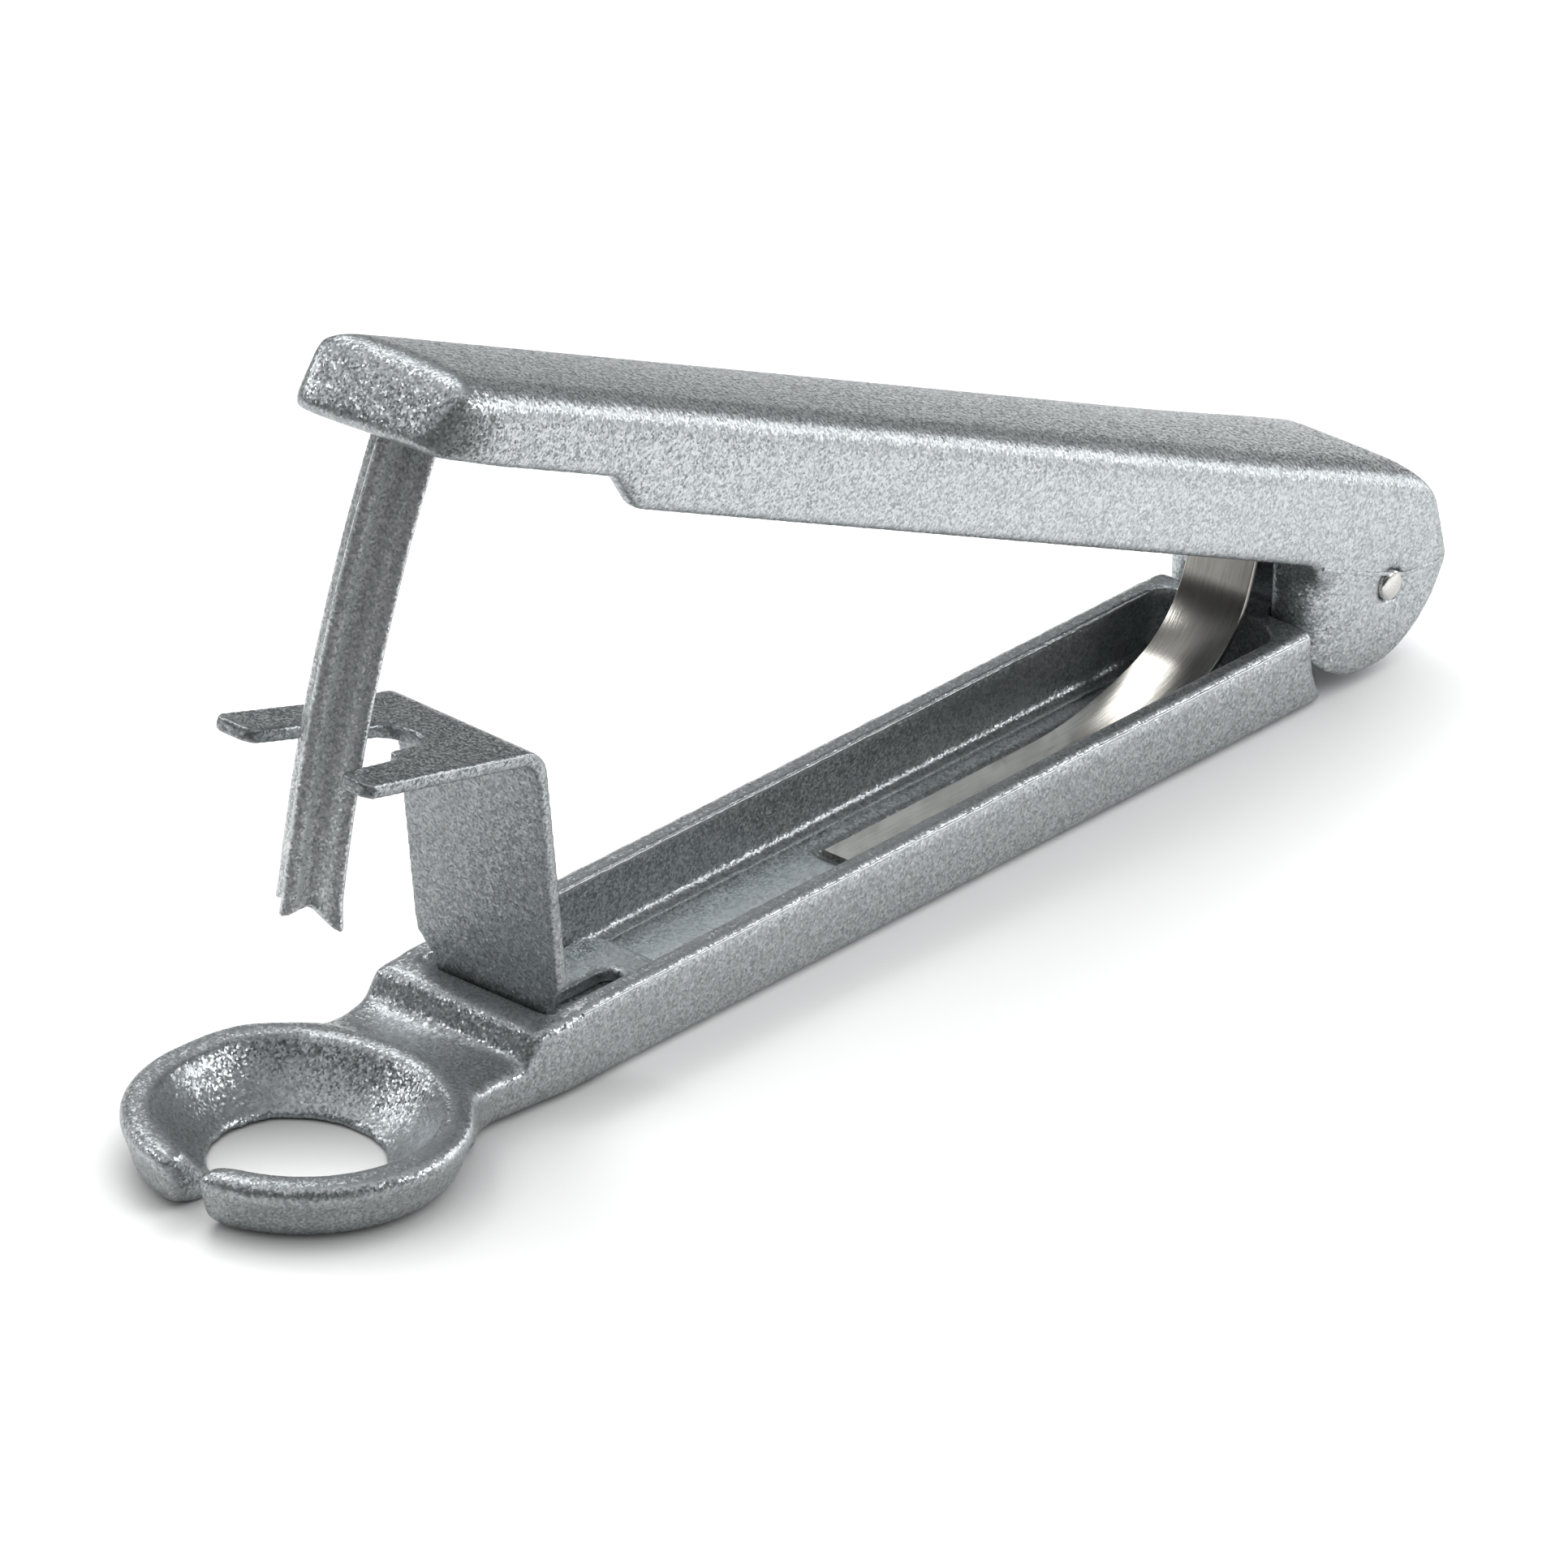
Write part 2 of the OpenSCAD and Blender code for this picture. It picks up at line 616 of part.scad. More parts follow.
// What is cut from the fork: its slot with the throat, and the corners of its tips
module fork_cut() {
    throat_end = fork_straight - throat_len + throat_w / 2;
    translate([0, throat_end]) circle(r = throat_w / 2);
    translate([-throat_w / 2, throat_end]) square([throat_w, throat_len]);
    rotate(90)
        rounded_plan(fork_straight - slot_len, fork_straight + slot_len, slot_w, slot_corner_r);
    for (side = [-1, 1]) translate([side * (plate_w + slot_w) / 4, 0])
        corner_cut((plate_w - slot_w) / 2, fork_straight, tine_r);
}

module stripper() {
    color(paint) on_table() translate([-plate_x, 0, floor_t]) difference() {
        along_y(plate_w) polygon(strip(sheet_path, sheet_t));
        rotate([0, -plate_lean, 0]) {
            along_x(-plate_w, foot_len + overrun) shoulder_cut();
            translate([sheet_t - bend_r, 0, plate_straight]) rotate([0, -turn_fork, 0])
                along_x(-plate_w, plate_w) fork_cut();
        }
        translate([0, 0, -overrun]) linear_extrude(sheet_t + 2 * overrun) {
            rotate(-90) corner_cut(foot_w, foot_len, foot_corner_r);
            rounded_plan(foot_slot_start, foot_slot_end, foot_slot_w, foot_slot_w / 2 - seat_gap);
        }
    }
}

// Leaf spring: one bent strip from the floor of the channel into the lever
module leaf_spring() {
    color(steel) at_pin() along_y(spring_w) polygon(strip(spring_path, spring_t));
}

// Hinge pin with low domed ends
module hinge_pin() {
    dome_r = (pow(pin_r, 2) + pow(dome_h, 2)) / (2 * dome_h);
    color(steel) at_pin() {
        rod_y(pin_r, lever_w);
        for (side = [-1, 1]) intersection() {
            translate([0, side * (lever_w / 2 + dome_h - dome_r), 0]) sphere(r = dome_r);
            translate([0, side * lever_w / 2, 0]) rod_y(pin_r, 2 * dome_h);
        }
    }
}

lower_arm();
lever();
plunger();
stripper();
leaf_spring();
hinge_pin();
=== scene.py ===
"""Hand-held cherry pitter: painted castings, a bent sheet stripper, a leaf spring and a steel pin."""

import json
import math

import bmesh
import bpy
import numpy as np
from bpy.props import FloatProperty, FloatVectorProperty, IntProperty, PointerProperty
from mathutils import Matrix, Vector


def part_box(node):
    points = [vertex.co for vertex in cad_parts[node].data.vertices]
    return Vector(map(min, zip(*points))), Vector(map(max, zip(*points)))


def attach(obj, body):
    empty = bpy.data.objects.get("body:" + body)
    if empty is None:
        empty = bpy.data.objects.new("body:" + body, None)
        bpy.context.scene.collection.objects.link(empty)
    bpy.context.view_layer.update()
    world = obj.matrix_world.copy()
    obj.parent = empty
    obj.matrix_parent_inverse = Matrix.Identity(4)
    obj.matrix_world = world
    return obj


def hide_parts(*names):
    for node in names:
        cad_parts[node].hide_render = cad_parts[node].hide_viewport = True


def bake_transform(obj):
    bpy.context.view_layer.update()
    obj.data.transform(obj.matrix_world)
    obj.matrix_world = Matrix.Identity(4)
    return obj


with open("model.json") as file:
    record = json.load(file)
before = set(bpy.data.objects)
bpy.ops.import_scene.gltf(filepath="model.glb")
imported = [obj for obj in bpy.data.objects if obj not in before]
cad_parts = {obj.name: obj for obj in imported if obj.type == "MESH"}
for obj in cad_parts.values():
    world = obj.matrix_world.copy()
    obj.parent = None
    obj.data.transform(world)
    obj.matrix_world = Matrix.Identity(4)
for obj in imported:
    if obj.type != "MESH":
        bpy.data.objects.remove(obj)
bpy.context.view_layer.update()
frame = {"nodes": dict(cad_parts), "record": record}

bl_info = {
    "name": "Cherry pitter",
    "version": (1, 0, 0),
    "blender": (4, 5, 0),
    "location": "View3D > Sidebar > Pitter",
    "description": "Builds a hand-held cherry pitter piece by piece",
    "category": "Object",
}

MM = 0.001

# Angle of the lever above the arm at rest, and the hinge pin's place, which the frame gives
OPEN_ANGLE = math.radians(22.7)
PIN = Vector(frame["record"]["behaviour"]["joints"][0]["pos_m"])

# Shortest distance that a direction is divided by, and distance within which doubled points are joined
SHORTEST = 1 * MM
JOIN_DISTANCE = 0.002 * MM


def span(low_mm, high_mm):
    """A stretch given in millimetres and held in metres, in which an effect fades in or out."""
    return low_mm * MM, high_mm * MM


def linear(code):
    """An sRGB hex colour as the linear RGBA that shaders and colour properties take."""
    parts = [int(code[i:i + 2], 16) / 255 for i in (1, 3, 5)]
    return tuple(c / 12.92 if c <= 0.04045 else ((c + 0.055) / 1.055) ** 2.4 for c in parts) + (1.0,)


def length(name, description, default_mm):
    """A length property, given in millimetres and held in metres."""
    return FloatProperty(name=name, description=description, default=default_mm * MM,
                         unit="LENGTH", precision=5)


def colour(name, description, code):
    """A colour property with an sRGB default."""
    return FloatVectorProperty(name=name, description=description, subtype="COLOR", size=4,
                               min=0, max=1, default=linear(code))


def rounds(name, description, default):
    """A number of smoothing rounds."""
    return IntProperty(name=name, description=description, default=default, min=0)


class CastingSettings(bpy.types.PropertyGroup):
    """Paint and edges of the two castings and the plunger"""
    paint: colour("Paint", "Silver-grey lacquer", "#8F9597")
    # Painted light: the plunger gets a lighter copy of the casting's lacquer and flakes
    plunger_paint_painted_lighter: colour("Plunger paint", "Silver-grey lacquer, lighter on the plunger", "#A9AFB1")
    flake: colour("Flake", "Aluminium flakes that catch the light", "#CDD1D3")
    plunger_flake_painted_lighter: colour("Plunger flake", "Flakes in the plunger's lacquer", "#F0F2F3")
    flake_size: length("Flake size", "Distance between the flakes", 0.22)
    mesh_size: length("Mesh size", "Edge length of the even mesh on the castings", 0.42)
    plunger_mesh_size: length("Plunger mesh size", "Edge length of the plunger's mesh", 0.22)
    edge_rounds: rounds("Edge rounds", "Smoothing rounds that soften cast edges", 5)
    neck_rounds: rounds("Neck rounds", "Smoothing rounds on the neck's slopes", 26)
    ear_corner: length("Ear corner", "Radius of the near ear's upright front corner", 4.4)
    far_ear_corner: length("Far ear corner", "Radius of the far ear's upright front corner", 2)
    nose_rounds: rounds("Nose rounds", "Smoothing rounds on the lever's front", 10)
    nose_taper: length("Nose taper", "How much narrower the lever gets on its near side at the front", 0.9)
    heel_swell: length("Heel swell", "How far the lever's rounded rear is filled out", 0.3)
    lip: length("Lip", "How far the lower edge of the lever's front is drawn out", 0.55)
    deck_swell: length("Deck swell", "How much wider the neck and deck are on their far side", 1.2)
    neck_swell: length("Neck swell", "How far the neck's far side bows out", 0.85)
    wall_crest: length("Wall crest", "Height that the walls keep above their smoothed edges", 0.3)
    near_rib: length("Near rib", "How far the plunger's near rib is drawn out", 0.35)
    valley: length("Valley", "How much deeper the hollows between the plunger's ribs are", 0.9)
    short_tip: length("Short tip", "How much shorter all the plunger's teeth are", 0.6)
    blunt: length("Blunt tooth", "How much shorter still the tooth of the front rib is", 1.4)
    near_tip: length("Near tip", "How far the tip of the plunger's near rib is drawn out", 0.5)
    flash_height: length("Flash", "Height of the thin fin along the parting line", 0.18)


class StripperSettings(bpy.types.PropertyGroup):
    """Bent sheet that holds the fruit back"""
    paint: colour("Paint", "Silver-grey lacquer, darker on the sheet", "#7F8587")
    flake: colour("Flake", "Aluminium flakes that catch the light", "#B9BDBF")
    mesh_size: length("Mesh size", "Edge length of the stripper's mesh", 0.24)
    edge_rounds: rounds("Edge rounds", "Smoothing rounds that soften the sheet's edges", 4)
    tilt: length("Tilt", "How much higher the plate's far side stands", 0.35)
    far_edge: length("Far edge", "How much wider the plate is on its far side", 0.35)
    flare: length("Flare", "How far the far tine's tip is bent outwards", 1.7)
    lift: length("Lift", "How far the far tine's tip is bent up", 0.3)
    near_flare: length("Near flare", "How far the near tine's inner edge is opened at its tip", 0.6)


class SpringSettings(bpy.types.PropertyGroup):
    """Leaf spring, as a strip along a path from the channel floor into the lever"""
    steel: colour("Steel", "Bare rolled stainless steel", "#BCB9B3")
    width: length("Width", "Width of the strip", 7.8)
    thickness: length("Thickness", "Thickness of the strip", 0.6)
    edge_radius: length("Edge radius", "Rounding of the sheared edges", 0.12)
    floor_leg: length("Floor leg", "Length of the leg in the channel floor", 30)
    rise_radius: length("Rise radius", "Radius of the gentle rise", 40)
    bend_radius: length("Bend radius", "Radius of the lower bend", 12)
    straight: length("Straight", "Length between the two bends", 7.67)
    fold_radius: length("Fold radius", "Radius of the bend inside the lever", 4)
    top_leg: length("Top leg", "Length of the leg inside the lever", 28)


class PinSettings(bpy.types.PropertyGroup):
    """Hinge pin"""
    steel: colour("Steel", "Bright turned steel", "#E2E1DE")
    radius: length("Radius", "Radius of the pin", 1.5)
    dome: length("Dome", "Height of the domed ends", 0.4)


class StageSettings(bpy.types.PropertyGroup):
    """Floor, lights and camera"""
    azimuth: FloatProperty(name="Azimuth", description="Camera's turn about the part",
                           default=math.radians(-50.5), subtype="ANGLE")
    elevation: FloatProperty(name="Elevation", description="Camera's height above the horizon",
                             default=math.radians(27.22), subtype="ANGLE")
    roll: FloatProperty(name="Roll", description="Camera's turn about its own axis",
                        default=math.radians(1.97), subtype="ANGLE")
    distance: length("Distance", "From the hinge pin to the camera", 1720)
    pin_right: length("Pin right", "How far right of the picture's middle the pin lies", 50.58)
    pin_up: length("Pin up", "How far above the picture's middle the pin lies", 21.98)
    lens: FloatProperty(name="Lens", description="Focal length on a 36 mm sensor, in millimetres",
                        default=413.1)
    floor: colour("Floor", "Plain pale floor", "#F4F4F4")
    floor_size: length("Floor size", "Side of the square floor", 2400)
    floor_edge: length("Floor edge", "How far behind the part the floor ends", 260)


def add_node(tree, kind, inputs=None, **settings):
    """Adds a node; inputs gives a value or an output socket for each named or numbered input."""
    node = tree.nodes.new(kind)
    for name, value in settings.items():
        setattr(node, name, value)
    for name, value in (inputs or {}).items():
        if isinstance(value, bpy.types.NodeSocket):
            tree.links.new(value, node.inputs[name])
        else:
            node.inputs[name].default_value = value
    return node


def new_material(name, **values):
    """A material with one Principled shader; values go straight to the shader's own sockets."""
    material = bpy.data.materials.new(name)
    material.use_nodes = True
    tree = material.node_tree
    tree.nodes.clear()
    shader = add_node(tree, "ShaderNodeBsdfPrincipled", values)
    add_node(tree, "ShaderNodeOutputMaterial", {"Surface": shader.outputs[0]})
    return material, tree, shader


def maths(tree, operation, first, second):
    """Result of a maths node on two numbers or sockets."""
    return add_node(tree, "ShaderNodeMath", {0: first, 1: second}, operation=operation).outputs[0]


def vector_maths(tree, operation, *vectors, output="Vector"):
    """Result of a vector maths node; a dot product and a length come out as its Value."""
    node = add_node(tree, "ShaderNodeVectorMath", dict(enumerate(vectors)), operation=operation)
    return node.outputs[output]


def scaled(tree, vector, scale):
    """A vector or colour times a number or socket."""
    return add_node(tree, "ShaderNodeVectorMath", {0: vector, "Scale": scale}, operation="SCALE").outputs[0]


def map_range(tree, value, given, result=(0, 1), smooth=False):
    """Turns the given stretch of a value into the stretch of the result, and holds its ends beyond."""
    return add_node(tree, "ShaderNodeMapRange", {
        "Value": value, "From Min": given[0], "From Max": given[1], "To Min": result[0], "To Max": result[1]},
        interpolation_type="SMOOTHSTEP" if smooth else "LINEAR").outputs[0]


def colour_mix(tree, factor, first, second):
    """A mix of two colours or sockets by a factor."""
    node = add_node(tree, "ShaderNodeMix", {"Factor": factor, 6: first, 7: second}, data_type="RGBA")
    return node.outputs[2]


def tilted_normal(tree, colour_socket, amount):
    """The surface normal, tipped by up to amount in the direction that a random colour gives."""
    centred = vector_maths(tree, "SUBTRACT", colour_socket, (0.5, 0.5, 0.5))
    normal = add_node(tree, "ShaderNodeNewGeometry").outputs["Normal"]
    total = vector_maths(tree, "ADD", normal, scaled(tree, centred, amount))
    return vector_maths(tree, "NORMALIZE", total)


# Lacquer: how much coarser its clouds are than its flakes, how far a flake leans, and the height of its bumps
CLOUD_COARSENESS = 2.2
FLAKE_TILT = 0.3
LACQUER_BUMP = 0.03 * MM


def flake_paint(name, paint, flake, flake_size, brushed=False):
    """Aluminium-flake lacquer sprayed on rough metal: a grey sheen broken up by fine sparkle.

    Real flakes are about 0.05 mm across; they are drawn as coarse as they show in the picture.
    """
    material, tree, shader = new_material(name, Metallic=0.85, Roughness=0.35)
    place = add_node(tree, "ShaderNodeTexCoord").outputs["Object"]
    flakes = add_node(tree, "ShaderNodeTexVoronoi", {
        "Vector": place, "Scale": 1 / flake_size}).outputs["Color"]
    cloud = add_node(tree, "ShaderNodeTexNoise", {
        "Vector": place, "Scale": 1 / (CLOUD_COARSENESS * flake_size), "Detail": 3.0,
        "Roughness": 0.7}).outputs[0]
    one_flake = add_node(tree, "ShaderNodeSeparateColor", {0: flakes}).outputs[0]
    mixed = add_node(tree, "ShaderNodeMix", {"Factor": 0.5, 2: one_flake, 3: cloud}).outputs[0]
    tone = colour_mix(tree, map_range(tree, mixed, (0.25, 0.8)), paint, flake)
    tree.links.new(tone, shader.inputs["Base Color"])
    grain = add_node(tree, "ShaderNodeBump", {
        "Height": cloud, "Distance": LACQUER_BUMP, "Strength": 0.3,
        "Normal": tilted_normal(tree, flakes, FLAKE_TILT)}).outputs[0]
    if brushed:
        grain = brush_marks(tree, place, grain)
    tree.links.new(grain, shader.inputs["Normal"])
    return material


# Grinding marks: their angle on the lever's top, how they are drawn out, their spacing and their depth
BRUSH_ANGLE = math.radians(38)
BRUSH_STRETCH = (0.08, 1, 0.3)
BRUSH_SPACING = 0.45 * MM
BRUSH_DEPTH = 0.09 * MM


def brush_marks(tree, place, normal):
    """Fine slanting marks left under the paint where the top of the casting was ground flat."""
    turned = add_node(tree, "ShaderNodeMapping", {
        "Vector": place, "Rotation": (0, 0, BRUSH_ANGLE), "Scale": BRUSH_STRETCH}).outputs[0]
    lines = add_node(tree, "ShaderNodeTexNoise", {
        "Vector": turned, "Scale": 1 / BRUSH_SPACING, "Detail": 2.0, "Roughness": 0.6}).outputs[0]
    surface = add_node(tree, "ShaderNodeNewGeometry").outputs["Normal"]
    lever_up = (math.sin(OPEN_ANGLE), 0, math.cos(OPEN_ANGLE))
    upward = vector_maths(tree, "DOT_PRODUCT", surface, lever_up, output="Value")
    height = maths(tree, "MULTIPLY", lines, map_range(tree, upward, (0.97, 0.995)))
    return add_node(tree, "ShaderNodeBump", {
        "Height": height, "Distance": BRUSH_DEPTH, "Strength": 0.8, "Normal": normal}).outputs[0]


# Steel: distance between its streaks, size of its stains, depth of its grain, and tone of its darkest streaks
STREAK_SPACING = 0.2 * MM
STAIN_SIZE = 6 * MM
GRAIN_DEPTH = 0.012 * MM
STREAK_TONE = 0.55


def brushed_steel(name, steel, grain, roughness):
    """Rolled or turned steel: bright and sharp across the grain, with streaks along it."""
    material, tree, shader = new_material(name, Metallic=1.0, Roughness=roughness)
    place = add_node(tree, "ShaderNodeTexCoord").outputs["Object"]
    stretched = add_node(tree, "ShaderNodeMapping", {"Vector": place, "Scale": grain}).outputs[0]
    lines = add_node(tree, "ShaderNodeTexNoise", {
        "Vector": stretched, "Scale": 1 / STREAK_SPACING, "Detail": 4.0, "Roughness": 0.65}).outputs[0]
    stains = add_node(tree, "ShaderNodeTexNoise", {
        "Vector": place, "Scale": 1 / STAIN_SIZE, "Detail": 3.0}).outputs[0]
    mixed = add_node(tree, "ShaderNodeMix", {"Factor": 0.35, 2: lines, 3: stains}).outputs[0]
    dark = tuple(c * STREAK_TONE for c in steel[:3]) + (1.0,)
    tone = colour_mix(tree, map_range(tree, mixed, (0.3, 0.7)), dark, steel)
    tree.links.new(tone, shader.inputs["Base Color"])
    bump = add_node(tree, "ShaderNodeBump", {"Height": lines, "Distance": GRAIN_DEPTH, "Strength": 0.7})
    tree.links.new(bump.outputs[0], shader.inputs["Normal"])
    return material


def new_object(name, mesh, material):
    """Links an object for a mesh, smooth shaded, with one material."""
    mesh.materials.clear()
    mesh.materials.append(material)
    mesh.shade_smooth()
    piece = bpy.data.objects.new(name, mesh)
    bpy.context.collection.objects.link(piece)
    return piece


def evaluated(piece, name):
    """The piece's mesh with its modifiers applied."""
    graph = bpy.context.evaluated_depsgraph_get()
    mesh = bpy.data.meshes.new_from_object(piece.evaluated_get(graph), depsgraph=graph)
    mesh.name = name
    return mesh


def even_mesh(node, mesh_size):
    """A closed copy of a frame node's shape, remeshed into even faces."""
    form = bmesh.new()
    form.from_mesh(frame["nodes"][node].data)
    bmesh.ops.remove_doubles(form, verts=form.verts, dist=JOIN_DISTANCE)
    mesh = bpy.data.meshes.new(node)
    form.to_mesh(mesh)
    form.free()
    rough = bpy.data.objects.new(node + "_even", mesh)
    bpy.context.collection.objects.link(rough)
    remesh = rough.modifiers.new("Even", "REMESH")
    remesh.mode = "VOXEL"
    remesh.voxel_size = mesh_size
    even = evaluated(rough, node + "_even")
    bpy.data.objects.remove(rough)
    return even


def points_of(mesh):
    """A mesh's points as an array of rows."""
    points = np.empty(len(mesh.vertices) * 3)
    mesh.vertices.foreach_get("co", points)
    return points.reshape(-1, 3)


def relax(mesh, points, times, share=1.0):
    """Moves each point half the way to the middle of its neighbours, or a share of that, several times."""
    ends = np.empty(len(mesh.edges) * 2, dtype=np.int64)
    mesh.edges.foreach_get("vertices", ends)
    a, b = ends.reshape(-1, 2).T
    count = np.bincount(ends, minlength=len(points))[:, None]
    for _ in range(times):
        total = np.stack([
            np.bincount(a, points[b, k], len(points)) + np.bincount(b, points[a, k], len(points))
            for k in range(3)], axis=1)
        points = points + share / 2 * (total / count - points)
    return points


def soft_piece(node, mesh_size, times, material, shape):
    """A copy of a frame node with soft edges; shape moves its points before they are smoothed."""
    mesh = even_mesh(node, mesh_size)
    points = relax(mesh, shape(mesh, points_of(mesh)), times)
    mesh.vertices.foreach_set("co", points.ravel())
    piece = new_object(node.title(), mesh, material)
    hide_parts(node)
    return piece


def fade_in(value, stretch):
    """0 before the stretch, 1 after it, and a smooth rise between."""
    low, high = stretch
    t = np.clip((value - low) / (high - low), 0, 1)
    return t * t * (3 - 2 * t)


def between(value, start, end):
    """Fades in over the start and out over the end."""
    return fade_in(value, start) * (1 - fade_in(value, end))


# Arm: distance from the stripper's rear end to its plate
PLATE_BACK = 21 * MM

# Arm: where its effects fade in, behind its front end, before or behind the plate, beside the middle plane,
# from the pin along X, above the table, and below the tops of the walls
NECK_BEHIND_FRONT = span(24, 30)
NECK_BEFORE_PLATE = span(0.9, 2.9)
NECK_HEIGHT = span(1, 3)
SLIT_BEHIND_FRONT = span(3, 5)
SLIT_BESIDE = span(2, 4)
DECK_BEHIND_FRONT = span(17, 27)
DECK_BEFORE_PLATE = span(-6, 0)
DECK_BESIDE = span(4, 8)
BOW_START = span(-136, -130)
BOW_END = span(-126, -119)
BOW_INNER = span(1.5, 5)
BOW_OUTER = span(10.5, 13)
WALL_TOP = 8 * MM
CREST_BELOW_TOP = span(-1.6, -0.3)
CREST_BEHIND_PLATE = span(0, 3)
CREST_BEFORE_PIN = 10 * MM


def melt_neck(settings):
    """Lets the steps of the neck and the edges of the cup's slit run into soft slopes.

    The deck and the neck swell out on their far side, and the channel's walls keep their crests.
    """
    front_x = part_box("lower_arm")[0][0]
    plate_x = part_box("stripper")[1][0] - PLATE_BACK

    def shape(mesh, points):
        x, y, z = points.T
        behind, before = x - front_x, plate_x - x
        neck = fade_in(before, NECK_BEFORE_PLATE) * fade_in(behind, NECK_BEHIND_FRONT)
        slit = (1 - fade_in(behind, SLIT_BEHIND_FRONT)) * (1 - fade_in(np.abs(y), SLIT_BESIDE))
        share = np.maximum(neck * fade_in(z, NECK_HEIGHT), slit)
        melted = relax(mesh, points, settings.neck_rounds, share[:, None])
        melted[:, :2] += neck[:, None] * (points[:, :2] - melted[:, :2])
        deck = fade_in(behind, DECK_BEHIND_FRONT) * fade_in(before, DECK_BEFORE_PLATE)
        melted[:, 1] += settings.deck_swell * deck * fade_in(y, DECK_BESIDE)
        bow = between(x - PIN.x, BOW_START, BOW_END) * between(y, BOW_INNER, BOW_OUTER)
        melted[:, 1] += settings.neck_swell * bow
        wall = fade_in(z - WALL_TOP, CREST_BELOW_TOP) * fade_in(-before, CREST_BEHIND_PLATE)
        melted[:, 2] += settings.wall_crest * wall * (x < PIN.x - CREST_BEFORE_PIN)
        return melted
    return shape


# Ears of the lever: their front edges before the pin, how far before those a point is still theirs, and the
# heights above the pin between which the rounding of their corners fades out
EAR_FRONT = 10.9 * MM
EAR_SLACK = 0.3 * MM
EAR_HEIGHT = span(2.6, 4.6)


def round_ears(points, settings):
    """Rounds the upright front corners of the lever's ears."""
    radius = np.where(points[:, 1] < 0, settings.ear_corner, settings.far_ear_corner)
    behind = points[:, 0] - PIN.x + EAR_FRONT
    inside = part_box("lever")[1][1] - np.abs(points[:, 1])
    from_middle = np.stack([radius - behind, radius - inside], axis=1)
    reach = np.linalg.norm(from_middle, axis=1)
    corner = (behind < radius) & (behind > -EAR_SLACK) & (inside < radius) & (reach > radius)
    share = corner * (1 - fade_in(points[:, 2] - PIN.z, EAR_HEIGHT))
    pull = share * (1 - radius / np.maximum(reach, radius))
    points[:, 0] += pull * from_middle[:, 0]
    points[:, 1] -= np.sign(points[:, 1]) * pull * from_middle[:, 1]


# Lever, in its own frame with the pin at zero: the middle of its heel along it and up, and where its
# effects fade in, behind or before the pin, up, across to the far side, and beside the middle plane
HEEL_MIDDLE = (-3 * MM, 2 * MM)
HEEL_BEHIND = span(-30, -8)
HEEL_UP = span(2, 4)
LIP_BEFORE = span(147, 150.5)
LIP_UP = span(4.5, 8.5)
LIP_ACROSS = span(-6, 8)
LIP_BESIDE = span(4, 8)
TAPER_BEFORE = span(145, 150.5)
TAPER_BESIDE = span(4, 9)
NOSE_BEFORE = span(143, 147)

# Lever, as shares: how far the lip goes forward and outward for its drop, how much of the drop is left on the
# near side, and how much of the nose's smoothing the rest of the lever gets
LIP_OUTWARD = 0.6
LIP_NEAR_SIDE = 0.25
BODY_SMOOTHING = 0.15


def shape_lever(settings):
    """Rounds the ears' front corners, fills out the heel and narrows the front on its near side.

    The front's lower edge is drawn out, most of all at its far corner.
    """
    c, s = math.cos(OPEN_ANGLE), math.sin(OPEN_ANGLE)

    def shape(mesh, points):
        round_ears(points, settings)
        x, z = points[:, 0] - PIN.x, points[:, 2] - PIN.z
        behind, up = x * c - z * s, x * s + z * c
        out = np.stack([behind - HEEL_MIDDLE[0], up - HEEL_MIDDLE[1]], axis=1)
        out /= np.maximum(np.linalg.norm(out, axis=1), SHORTEST)[:, None]
        heel = settings.heel_swell * fade_in(behind, HEEL_BEHIND) * fade_in(up, HEEL_UP)
        lip = settings.lip * fade_in(-behind, LIP_BEFORE) * (1 - fade_in(up, LIP_UP))
        far = fade_in(points[:, 1], LIP_ACROSS)
        shift_back = heel * out[:, 0] - LIP_OUTWARD * lip * far
        shift_up = heel * out[:, 1] - lip * (LIP_NEAR_SIDE + (1 - LIP_NEAR_SIDE) * far)
        points[:, 0] += shift_back * c + shift_up * s
        points[:, 2] += shift_up * c - shift_back * s
        taper = fade_in(-behind, TAPER_BEFORE) * fade_in(-points[:, 1], TAPER_BESIDE)
        points[:, 1] += settings.nose_taper * taper
        points[:, 1] += LIP_OUTWARD * lip * fade_in(points[:, 1], LIP_BESIDE)
        share = BODY_SMOOTHING + (1 - BODY_SMOOTHING) * fade_in(-behind, NOSE_BEFORE)
        return relax(mesh, points, settings.nose_rounds, share[:, None])
    return shape


# Stripper: height at which its plate starts to tilt, how far below its top the tilt is complete, length of
# its tines, how far below its top they reach, the near tine's inner edge, and where its effects fade in
TILT_START = 10 * MM
TILT_BELOW_TOP = 8 * MM
TINE_LENGTH = 15.6 * MM
TINE_HEIGHT = 9 * MM
NEAR_TINE_EDGE = -4 * MM
TINE_BESIDE = span(0.5, 3.5)
FAR_EDGE_BESIDE = span(5, 8)
FAR_EDGE_HEIGHT = span(9, 13)


